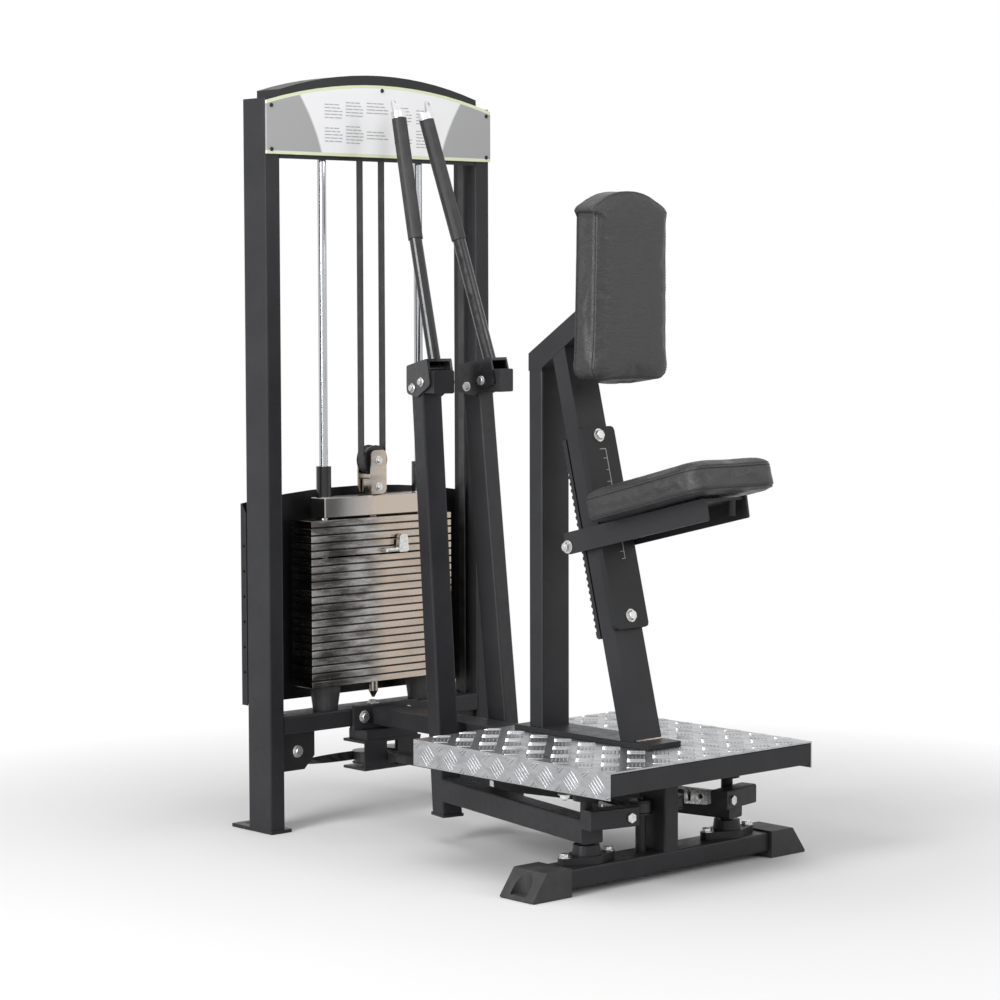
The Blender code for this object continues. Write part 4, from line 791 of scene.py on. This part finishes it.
def filled(piece):
    """Blows the shell up as stuffed cloth, and holds every point within reach of where it was sewn."""
    sewn = [vertex.co.copy() for vertex in piece.data.vertices]
    cloth = piece.modifiers.new("stuffing", "CLOTH")
    firmness = {"quality": 5, "mass": 0.3, "tension_stiffness": 25, "compression_stiffness": 25}
    firmness |= {"shear_stiffness": 8, "bending_stiffness": 0.8}
    firmness |= {"use_pressure": True, "uniform_pressure_force": FILL_PRESSURE}
    for setting, value in firmness.items():
        setattr(cloth.settings, setting, value)
    cloth.settings.effector_weights.gravity = 0
    cloth.collision_settings.use_collision = False
    scene = bpy.context.scene
    for frame in range(1, FILL_FRAMES + 1):
        scene.frame_set(frame)
    mesh = applied(piece)
    scene.frame_set(1)
    for vertex, start in zip(mesh.vertices, sewn):
        moved = vertex.co - start
        if moved.length > FILL_REACH:
            vertex.co = start + moved.normalized() * FILL_REACH
    mesh.update()


def creased(mesh, frame, outline, middle, top, seams, creases):
    """Pulls the cover in at its seams and lays soft folds beside them."""
    inverse = frame.inverted()
    edge = KDTree(len(outline))
    for index, point in enumerate(outline):
        edge.insert((point.x, point.y, 0), index)
    edge.balance()
    for vertex in mesh.vertices:
        local = inverse @ vertex.co
        away = (Vector((local.x, local.y)) - middle).normalized()
        local.z = max(local.z, 0.0)
        rim = edge.find((local.x, local.y, 0))[2]
        for height in seams:
            near = math.exp(-(((local.z - height) / SEAM_WIDE) ** 2))
            if near > 0.02 and rim < SEAM_REACH:
                local.x -= away.x * SEAM_DEEP * near
                local.y -= away.y * SEAM_DEEP * near
        clear = min(1.0, max(0.0, (local.z - 0.008) / 0.02))
        if clear:
            spot = Vector((local.x * creases[0], local.y * creases[1], local.z * 30))
            fold = 1 - abs(noise.noise(spot + noise.noise_vector(spot * 0.5) * 0.8)) * 3
            share = math.exp(-rim / 0.06) if local.z > top * 0.75 else 0.5
            way = Vector((away.x, away.y, 0)) if local.z < top * 0.75 else Z_AXIS
            local = local - way * (max(fold, 0) * CREASE_DEEP * share * clear)
        vertex.co = frame @ local
    mesh.update()
    mesh.shade_smooth()


def sew(piece, outline, middle, frame, seams, body):
    """Lays the piping in each seam and a row of stitches above it, on the finished cover."""
    tree = BVHTree.FromObject(piece, bpy.context.evaluated_depsgraph_get())
    stitch = bmesh.new()
    profile = [(0.0002, -0.0021), (0.00055, -0.0016), (0.00055, 0.0016), (0.0002, 0.0021)]
    lathe(stitch, profile, 6, Matrix.Rotation(math.radians(90), 4, "Y"))
    thread = mesh_of("stitch", stitch)

    def line_on_cover(height, proud):
        line = []
        for point in outline:
            way = point - middle
            outer, inner = (frame @ Vector((*(middle + way * reach), height)) for reach in (1.12, 0.5))
            hit, normal, _, _ = tree.ray_cast(outer, (inner - outer).normalized(), (inner - outer).length)
            if hit:
                line.append(hit + normal * proud)
        return line

    for number, height in enumerate(seams, 1):
        piping, stitches = line_on_cover(height, 0.0004), line_on_cover(height + 0.0048, 0.0005)
        cord(f"{piece.name} piping {number}", piping, PIPING, "leather", body, closed=True)
        along_loop(f"{piece.name} stitches {number}", thread, stitches, STITCH, "thread", body)


def make_pad(name, node, outline, rings, frame, seams, body, creases):
    """One upholstered pad: sewn, filled, subdivided and creased, with its piping and stitches."""
    piece = bpy.data.objects.new(name, pad_shell(name, outline, rings, frame))
    bpy.context.scene.collection.objects.link(piece)
    remesh = piece.modifiers.new("weave", "REMESH")
    remesh.mode = "VOXEL"
    remesh.voxel_size = WEAVE
    applied(piece)
    filled(piece)
    finer = piece.modifiers.new("softness", "SUBSURF")
    finer.levels = finer.render_levels = 1
    middle = sum(outline, Vector((0, 0))) / len(outline)
    creased(applied(piece), frame, outline, middle, rings[-1][1], seams, creases)
    wear_finish(piece, finish_of("leather"))
    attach(piece, body)
    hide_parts(node)
    sew(piece, outline, middle, frame, seams, body)


def make_pads():
    """The chest pad and the seat pad."""
    noise.seed_set(CREASE_SEED)
    half, low, shoulder, top = 0.113, 1.008, 1.370, 1.409
    corners = [(-half, low), (half, low), (half, shoulder), (-half, shoulder)]
    outline = soft_outline(corners, [0.028, 0.028, 0, 0], arch=(half, shoulder, top - shoulder))
    outline = arch_in_order(outline, half, shoulder)
    rings = [(0.004, 0.0008), (0.0006, 0.004), (0, 0.015), (0.0008, 0.035), (0, 0.055), (0.0010, 0.061)]
    rings += [(0.006, 0.0660), (0.020, 0.0692), (0.050, 0.0706), (0.085, 0.0710)]
    seams, creases = (0.0590, 0.0065), (14, 42)
    make_pad("chest_pad_cover", "chest_pad", outline, rings, CHEST_FRAME, seams, "machine", creases)

    half, back, front = 0.125, -0.012, 0.327
    corners = [(-half, back), (half, back), (half, front), (-half, front)]
    outline = soft_outline(corners, [0.014, 0.014, 0.040, 0.040])
    rings = [(0.004, 0.0008), (0.0006, 0.004), (0, 0.014), (0.0008, 0.028), (0, 0.045), (0.0010, 0.051)]
    rings += [(0.006, 0.0570), (0.020, 0.0620), (0.050, 0.0650), (0.085, 0.0660)]
    seams, creases = (0.0490, 0.0055), (40, 14)
    make_pad("seat_pad_cover", "seat_pad", outline, rings, SEAT_FRAME, seams, "seat", creases)


def arch_in_order(outline, half, shoulder):
    """The plan's points in one turn about its middle, without those on the line between its shoulders."""
    kept = [point for point in outline if abs(point.y - shoulder) > 1e-4 or abs(point.x) > half - 1e-4]
    middle = sum(kept, Vector((0, 0))) / len(kept)
    return sorted(kept, key=lambda point: math.atan2(point.y - middle.y, point.x - middle.x))


class MACHINE_OT_pads(bpy.types.Operator):
    """Makes the two upholstered pads with their piping and stitches"""

    bl_idname = "machine.pads"
    bl_label = "Pads"

    def execute(self, context):
        make_pads()
        return {"FINISHED"}


def make_board():
    """The instruction board's screws and its plain ruled bars."""
    places = [(side * 0.3135, BOARD_FACE, z) for side in (-1, 1) for z in (1.509, 1.604)]
    places.append((0, BOARD_FACE, 1.6485))
    spots = [(at(*place), -Y_AXIS, 0.4 * index) for index, place in enumerate(places)]
    copies("board screws", button_screw(0.0048, 0.0024), spots, "coat", "machine")

    bars = bmesh.new()
    face = at(0, BOARD_FACE, 0).y
    blocks = [(-0.165, 0.050, 5, 1.612), (-0.105, 0.050, 5, 1.618), (-0.045, 0.062, 4, 1.619)]
    blocks += [(0.035, 0.052, 6, 1.612), (0.100, 0.050, 5, 1.608), (-0.165, 0.050, 5, 1.560)]
    blocks += [(-0.105, 0.050, 6, 1.565), (0.100, 0.050, 6, 1.562), (0.035, 0.052, 4, 1.556)]
    blocks.append((-0.045, 0.062, 3, 1.555))
    for left, wide, rows, top in blocks:
        for row in range(rows):
            z = top - 0.0072 * row
            start = left
            for part in range(3):
                share = (0.24, 0.40, 0.20, 0.34, 0.28)[(row * 3 + part * 2) % 5]
                end = min(start + wide * share, left + wide)
                if end - start > 0.004:
                    slab(bars, (start, face - 0.00022, z - 0.0011), (end, face + 0.0001, z + 0.0011))
                start = end + 0.0022
    link("board ruled bars", mesh_of("board ruled bars", bars, 0), "grey ink", "machine")


class MACHINE_OT_board(bpy.types.Operator):
    """Makes the instruction board's screws and ruled bars"""

    bl_idname = "machine.board"
    bl_label = "Instruction board"

    def execute(self, context):
        make_board()
        return {"FINISHED"}


def make_fastenings(settings):
    """The zinc bolts and nuts, one piece for each body."""
    wide = settings.bolt_across
    bolt = hex_bolt(wide, wide * 0.42, wide * 0.76)
    nut = lock_nut(wide, wide * 0.55, wide * 0.76, wide * 0.30)
    spots = [(at(0, 0.039, 0.258), Z_AXIS, 0.3)]
    spots += [(at(side * 0.065, -0.008, 0.238), -Y_AXIS, 0.2 * side) for side in (-1, 1)]
    spots += [(at(side * 0.241, 0.012, 0.176), -Y_AXIS, 0.35) for side in (-1, 1)]
    for z in (0.525, 0.895):
        along = (z - SEAT_POST_LOW.z) / SEAT_POST_UP.z
        spots.append((on_seat_post(0, along, 0.0143), SEAT_POST_FRONT, z))
    for side in (-1, 1):
        for across in (-0.06, 0.06):
            spots.append((Vector((side * PIVOT[0] + across, PIVOT[1], 0.069)), Z_AXIS, 0.5 + across))
    copies("frame bolts", bolt, spots, "zinc", "machine")
    across = [side * PIVOT[0] + reach for side in (-1, 1) for reach in (-0.06, 0.06)]
    spots = [(Vector((x, PIVOT[1], 0.1976)), -Z_AXIS, 0.2) for x in across]
    copies("frame nuts", nut, spots, "zinc", "machine")

    small = hex_bolt(0.0125, 0.0060, 0.0100)
    spots = [(at(0, 0.013, z), -Y_AXIS, 0.2) for z in (0.757, 0.817)]
    copies("stack bolts", small, spots, "zinc", "stack")

    spots = [(at(side * 0.061, -0.6745, 0.6665), X_AXIS * side, 0.1) for side in (-1, 1)]
    copies("seat axle nuts", nut, spots, "zinc", "seat")

    for side in (-1, 1):
        body = side_name(side) + "_arm"
        spots = []
        for y, z in ((0.620, 1.0026), (0.659, 0.9885)):
            for face in (-1, 1):
                spots.append((on_arm(side, face * 0.031, y, z), arm_way(side, face, 0, 0), 0.4 * face))
        copies(f"{side_name(side)} arm bolts", hex_bolt(0.0135, 0.0062, 0.0105), spots, "zinc", body)


class MACHINE_OT_fastenings(bpy.types.Operator):
    """Makes the zinc bolts and nuts"""

    bl_idname = "machine.fastenings"
    bl_label = "Fastenings"

    def execute(self, context):
        make_fastenings(context.scene.machine_sizes)
        return {"FINISHED"}


def tread_bar(length, wide, tall):
    """One raised lozenge of the chequered sheet, standing on Z = 0 along X."""
    shape = bmesh.new()
    rings = []
    for share, height in ((1.0, -0.0002), (0.86, tall * 0.75), (0.60, tall)):
        ring = []
        for turn in range(12):
            angle = 2 * math.pi * turn / 12
            reach = length / 2 - wide * (1 - share) * 0.5
            x = math.copysign(abs(math.cos(angle)) ** 0.9, math.cos(angle)) * reach
            ring.append(shape.verts.new((x, math.sin(angle) * wide / 2 * share, height)))
        rings.append(ring)
    joined_rings(shape, rings)
    shape.faces.new(rings[-1])
    shape.faces.new(rings[0][::-1])
    return mesh_of("tread bar", shape, 50)


def bar_groups(low_u, high_u, low_v, high_v, pitch, step, inside):
    """(u, v, angle) of every bar whose middle lies inside: groups of five, turned the other way between."""
    found = []
    for way in (0, 1):
        angle = math.radians(45 if way else -45)
        across = Vector((-math.sin(angle), math.cos(angle)))
        for column in range(-1, int((high_u - low_u) / pitch) + 2):
            for row in range(-1, int((high_v - low_v) / pitch) + 2):
                middle = Vector((low_u + (column + 0.5 * way) * pitch, low_v + (row + 0.5 * way) * pitch))
                for bar in range(-2, 3):
                    spot = middle + across * (bar * step)
                    if inside(spot.x, spot.y):
                        found.append((spot.x, spot.y, angle))
    return found


def cut_back(shape, point, normal):
    """Cuts a bmesh back to the inner side of a plane and closes the cut."""
    geometry = shape.verts[:] + shape.edges[:] + shape.faces[:]
    made = bmesh.ops.bisect_plane(shape, geom=geometry, plane_co=point, plane_no=normal, clear_outer=True)
    edges = [edge for edge in made["geom_cut"] if isinstance(edge, bmesh.types.BMEdge)]
    bmesh.ops.holes_fill(shape, edges=edges)


def trimmed(mesh, planes):
    """Cuts a mesh back to the inner side of planes, each a point and an outward normal."""
    shape = bmesh.new()
    shape.from_mesh(mesh)
    for point, normal in planes:
        cut_back(shape, point, normal)
    shape.to_mesh(mesh)
    shape.free()


def make_tread(settings):
    """The raised bars of the chequered sheet, on the deck and down its skirts."""
    low, high = (Vector(corner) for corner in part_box("tread_plate"))
    pitch, step = settings.tread_pitch, settings.tread_pitch * 0.105
    bar = tread_bar(pitch * 0.50, 0.0042, settings.tread_rise)
    base_low, base_high = at(-0.0475, -0.8995, 0.2617), at(0.0475, -0.493, BASE_PLATE_TOP)

    def on_deck(x, y):
        if not (low.x + 0.006 < x < high.x - 0.006 and low.y + 0.006 < y < high.y - 0.006):
            return False
        return not (base_low.x - 0.012 < x < base_high.x + 0.012 and y > base_low.y - 0.012)

    def on_skirt(y, z):
        return low.y + 0.004 < y < high.y - 0.004 and low.z - 0.010 < z < high.z + 0.008

    spots = [
        (Vector((x, y, high.z)), Z_AXIS, angle)
        for x, y, angle in bar_groups(low.x, high.x, low.y, high.y, pitch, step, on_deck)
    ]
    piece = copies("deck tread bars", bar, spots, "tread", "machine")
    sides = ((low, -1), (high, 1))
    trimmed(piece.data, [((corner.x - way * 0.002, 0, 0), (way, 0, 0)) for corner, way in sides])
    trimmed(piece.data, [((0, corner.y - way * 0.002, 0), (0, way, 0)) for corner, way in sides])

    spots = []
    for face in (-1, 1):
        x = low.x if face < 0 else high.x
        groups = bar_groups(low.y, high.y, low.z - 0.012, high.z, pitch, step, on_skirt)
        spots += [(Vector((x, y, z)), X_AXIS * face, angle) for y, z, angle in groups]
    piece = copies("skirt tread bars", bar, spots, "tread", "machine")
    trimmed(piece.data, [((0, 0, high.z - 0.004), (0, 0, 1)), ((0, 0, low.z + 0.002), (0, 0, -1))])
    trimmed(piece.data, [((0, corner.y - way * 0.002, 0), (0, way, 0)) for corner, way in sides])


class MACHINE_OT_tread(bpy.types.Operator):
    """Makes the raised bars of the chequered deck sheet"""

    bl_idname = "machine.tread"
    bl_label = "Deck tread"

    def execute(self, context):
        make_tread(context.scene.machine_sizes)
        return {"FINISHED"}


def make_stack_details():
    """The pale index marks on the front edges of the plates."""
    mark = bmesh.new()
    slab(mark, (-0.0042, -0.0016, -0.0001), (-0.0022, 0.0016, 0.00025))
    slab(mark, (0.0002, -0.0026, -0.0001), (0.0012, 0.0026, 0.00025))
    slab(mark, (0.0022, -0.0026, -0.0001), (0.0042, -0.0017, 0.00025))
    mark = mesh_of("index mark", mark, 0)
    for name, body in (("resting", "machine"), ("lifted", "stack")):
        start, end = (Vector(corner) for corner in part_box(f"{name}_plates"))
        count = round((end.z - start.z) / PLATE_PITCH + 0.2)
        spots = []
        for index in range(count):
            middle = start.z + index * PLATE_PITCH + PLATE_THICK / 2
            spots.append((Vector((0.092, start.y - 0.0001, middle)), -Y_AXIS, 0.0))
        copies(f"{name} plate marks", mark, spots, "white ink", body)


def make_post_marks():
    """The thin scale line and its ticks on the face of the inclined post's wear plate."""
    lines = bmesh.new()

    def strip(x_low, x_high, z_low, z_high):
        corners = []
        for x, z in ((x_low, z_low), (x_high, z_low), (x_high, z_high), (x_low, z_high)):
            corners.append(on_seat_post(x, (z - SEAT_POST_LOW.z) / SEAT_POST_UP.z, 0.0143))
        raised = [point + SEAT_POST_FRONT * 0.0002 for point in corners]
        bottom = [lines.verts.new(point - SEAT_POST_FRONT * 0.0001) for point in corners]
        top = [lines.verts.new(point) for point in raised]
        lines.faces.new(top)
        lines.faces.new(bottom[::-1])
        joined_rings(lines, (bottom, top))

    strip(0.012, 0.0136, 0.640, 0.868)
    strip(-0.004, 0.0136, 0.866, 0.8676)
    strip(0.004, 0.0136, 0.640, 0.6416)
    for tick in range(9):
        z = 0.655 + 0.024 * tick
        strip(0.0045 if tick % 2 else 0.0015, 0.012, z, z + 0.0012)
    link("post scale", mesh_of("post scale", lines, 0), "grey ink", "machine")


def weld(name, points, radius, finish):
    """A weld's bead: a cord through points, pushed into small ripples."""
    line = []
    for first, second in zip(points, points[1:]):
        first, second = Vector(first), Vector(second)
        parts = max(2, int((second - first).length / 0.0022))
        line += [first.lerp(second, part / parts) for part in range(parts)]
    line.append(Vector(points[-1]))
    piece = cord(name, line, radius, finish, "machine")
    for vertex in piece.data.vertices:
        ripple = noise.noise(vertex.co * 420.0)
        vertex.co += vertex.co.normalized() * ripple * radius * 0.35
    piece.data.update()


def make_welds():
    """The beads at the main joints that show."""
    y, high, low = SEAT_POST_LOW.y - 0.0012, BASE_PLATE_TOP + 0.0012, BASE_PLATE_TOP + 0.001
    weld("post foot weld", [(-0.0375, y, high), (0.0375, y, high)], 0.0030, "block steel")
    for side in (-1, 1):
        x = side * 0.0385
        weld(f"{side_name(side)} post foot weld", [(x, y + 0.002, low), (x, y + 0.040, low)], 0.0024, "coat")


class MACHINE_OT_details(bpy.types.Operator):
    """Makes the plate marks, post scale and welds"""

    bl_idname = "machine.details"
    bl_label = "Small details"

    def execute(self, context):
        make_stack_details()
        make_post_marks()
        make_welds()
        return {"FINISHED"}


def half_of(name, source, height, upper):
    """The part of a closed mesh above or below a height, closed again."""
    shape = bmesh.new()
    shape.from_mesh(source)
    bmesh.ops.remove_doubles(shape, verts=shape.verts, dist=0.00001)
    cut_back(shape, (0, 0, height), -Z_AXIS if upper else Z_AXIS)
    return mesh_of(name, shape, 40)


def make_stack_belt():
    """The belt over the stack: a loop that rises with its pulley, and the two runs above it, which stay on the
    frame.
    """
    source = NODES["stack_belt"].data
    middle = (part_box("stack_pulley")[0][2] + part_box("stack_pulley")[1][2]) / 2
    loop = half_of("stack belt loop", source, middle, upper=False)
    runs = half_of("stack belt runs", source, middle, upper=True)
    loop = link("stack belt loop", loop, "belt", "stack")
    runs = link("stack belt runs", runs, "belt", "machine")
    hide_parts("stack_belt")
    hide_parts("stack_belt")
    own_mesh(runs)


class MACHINE_OT_belt(bpy.types.Operator):
    """Makes the belt that lifts the stack"""

    bl_idname = "machine.belt"
    bl_label = "Stack belt"

    def execute(self, context):
        make_stack_belt()
        return {"FINISHED"}


class MachineStage(bpy.types.PropertyGroup):
    """What a user may change about the studio."""

    lens: FloatProperty(name="Lens", description="Camera lens in millimetres", default=103.03, min=20, max=300)
    key_power: FloatProperty(
        name="Key light", description="Power of the left lamp", default=205.0, min=0, unit="POWER"
    )
    fill_power: FloatProperty(
        name="Fill light", description="Power of the front lamp", default=55.0, min=0, unit="POWER"
    )
    top_power: FloatProperty(
        name="Top light", description="Power of the top lamp", default=52.0, min=0, unit="POWER"
    )
    floor_colour: FloatVectorProperty(
        name="Floor", description="Colour of the floor", subtype="COLOR", size=3, default=(0.80, 0.80, 0.80)
    )


# The camera, measured from the tower's front face, with its yaw, pitch and roll in degrees
CAMERA_PLACE = (-4.1501, -4.9871, 1.1904)
CAMERA_TURN = (42.117, 4.096, -0.149)


def area_light(name, place, target, size, power):
    """A soft rectangular lamp that points at a target."""
    lamp = bpy.data.lights.new(name, "AREA")
    lamp.shape = "RECTANGLE"
    lamp.size, lamp.size_y = size
    lamp.energy = power
    light = bpy.data.objects.new(name, lamp)
    light.location = place
    light.rotation_euler = (Vector(target) - Vector(place)).to_track_quat("-Z", "Y").to_euler()
    bpy.context.scene.collection.objects.link(light)


def camera_glossy_or_glass(tree):
    """1 for a ray from the camera, a mirror or glass, and 0 for the light that falls on the object."""
    path = tree.nodes.new("ShaderNodeLightPath")
    found = path.outputs["Is Camera Ray"]
    for other in ("Is Glossy Ray", "Is Transmission Ray"):
        either = tree.nodes.new("ShaderNodeMath")
        either.operation = "MAXIMUM"
        tree.links.new(found, either.inputs[0])
        tree.links.new(path.outputs[other], either.inputs[1])
        found = either.outputs[0]
    return found


def studio_floor(colour):
    """Pale floor that takes shadows and fades to white further out for the camera, mirrors and glass."""
    finish = Finish("studio floor", colour, 0.9)
    place = finish.node("ShaderNodeTexCoord").outputs["Object"]
    away = finish.node("ShaderNodeVectorMath", {0: place}, operation="LENGTH").outputs["Value"]
    share = finish.maths("MULTIPLY", camera_glossy_or_glass(finish.tree), finish.span(away, 0.9, 1.9, 0, 1))
    glow = finish.node("ShaderNodeEmission").outputs[0]
    both = finish.node("ShaderNodeMixShader", {0: share, 1: finish.shader.outputs[0], 2: glow})
    finish.tree.links.new(both.outputs[0], finish.tree.nodes["Material Output"].inputs["Surface"])
    return finish.material


def make_stage(settings):
    """A pale floor, a pale world, soft lamps and the camera at the photograph's angle."""
    floor_mesh = bpy.data.meshes.new("floor")
    half = 14.0
    corners = [(-half, -half, 0), (half, -half, 0), (half, half, 0), (-half, half, 0)]
    floor_mesh.from_pydata(corners, [], [(0, 1, 2, 3)])
    floor = bpy.data.objects.new("floor", floor_mesh)
    floor.location.z = -0.0004
    bpy.context.scene.collection.objects.link(floor)
    floor_mesh.materials.append(studio_floor(settings.floor_colour))

    world = bpy.data.worlds.new("studio")
    world.use_nodes = True
    bpy.context.scene.world = world
    tree = world.node_tree
    background = tree.nodes["Background"]
    level = tree.nodes.new("ShaderNodeMapRange")
    level.inputs[3].default_value = 0.42
    level.inputs[4].default_value = 1.0
    tree.links.new(camera_glossy_or_glass(tree), level.inputs[0])
    tree.links.new(level.outputs[0], background.inputs["Strength"])
    background.inputs["Color"].default_value = (1, 1, 1, 1)

    middle = Vector((0, 0.1, 0.8))
    area_light("left lamp", (-4.6, -0.6, 2.2), middle, (1.6, 3.4), settings.key_power)
    area_light("front lamp", (1.6, -4.6, 2.6), middle, (1.6, 2.4), settings.fill_power)
    area_light("top lamp", (-0.6, -0.4, 4.2), middle, (3.0, 3.0), settings.top_power)

    camera_data = bpy.data.cameras.new("camera")
    camera_data.sensor_width = 36
    camera_data.lens = settings.lens
    camera = bpy.data.objects.new("camera", camera_data)
    yaw, pitch, roll = (math.radians(angle) for angle in CAMERA_TURN)
    forward = Vector((math.sin(yaw) * math.cos(pitch), math.cos(yaw) * math.cos(pitch), -math.sin(pitch)))
    level_right = Vector((math.cos(yaw), -math.sin(yaw), 0))
    level_up = level_right.cross(forward)
    right = math.cos(roll) * level_right + math.sin(roll) * level_up
    up = -math.sin(roll) * level_right + math.cos(roll) * level_up
    turned = Matrix((right, up, -forward)).transposed().to_4x4()
    camera.matrix_world = Matrix.Translation(at(*CAMERA_PLACE)) @ turned
    bpy.context.scene.collection.objects.link(camera)
    bpy.context.scene.camera = camera
    bpy.context.scene.view_settings.view_transform = "Standard"


class MACHINE_OT_stage(bpy.types.Operator):
    """Makes the floor, lamps and camera"""

    bl_idname = "machine.stage"
    bl_label = "Studio"

    def execute(self, context):
        make_stage(context.scene.machine_stage)
        return {"FINISHED"}


class MACHINE_OT_nodes(bpy.types.Operator):
    """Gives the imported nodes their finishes"""

    bl_idname = "machine.nodes"
    bl_label = "Frame finishes"

    def execute(self, context):
        dress_nodes()
        return {"FINISHED"}


class MachineSizes(bpy.types.PropertyGroup):
    """The small parts' sizes that a user may change."""

    bolt_across: FloatProperty(
        name="Bolt heads", description="Width of the large heads", default=0.0185, min=0.005, unit="LENGTH"
    )
    tread_pitch: FloatProperty(
        name="Tread repeat", description="Distance between bar groups", default=0.0725, min=0.02, unit="LENGTH"
    )
    tread_rise: FloatProperty(
        name="Tread height", description="How far a bar stands up", default=0.0013, min=0.0, unit="LENGTH"
    )


STEPS = (MACHINE_OT_stage, MACHINE_OT_nodes, MACHINE_OT_pads, MACHINE_OT_board, MACHINE_OT_fastenings)
STEPS += (MACHINE_OT_tread, MACHINE_OT_details, MACHINE_OT_belt)


class MACHINE_PT_panel(bpy.types.Panel):
    """Lists the sizes and the steps that dress the machine"""

    bl_idname = "MACHINE_PT_panel"
    bl_label = "Machine"
    bl_space_type = "VIEW_3D"
    bl_region_type = "UI"
    bl_category = "Machine"

    def draw(self, context):
        for group in (context.scene.machine_stage, context.scene.machine_sizes):
            for name in group.__annotations__:
                self.layout.prop(group, name)
        for step in STEPS:
            self.layout.operator(step.bl_idname)


CLASSES = (MachineStage, MachineSizes, *STEPS, MACHINE_PT_panel)


def register():
    for kind in CLASSES:
        bpy.utils.register_class(kind)
    bpy.types.Scene.machine_stage = PointerProperty(type=MachineStage)
    bpy.types.Scene.machine_sizes = PointerProperty(type=MachineSizes)


def unregister():
    del bpy.types.Scene.machine_sizes
    del bpy.types.Scene.machine_stage
    for kind in reversed(CLASSES):
        bpy.utils.unregister_class(kind)


def main():
    """Makes every piece in order."""
    register()
    bpy.ops.machine.stage()
    bpy.ops.machine.nodes()
    bpy.ops.machine.pads()
    bpy.ops.machine.board()
    bpy.ops.machine.fastenings()
    bpy.ops.machine.tread()
    bpy.ops.machine.details()
    bpy.ops.machine.belt()


if __name__ == "__main__":
    main()
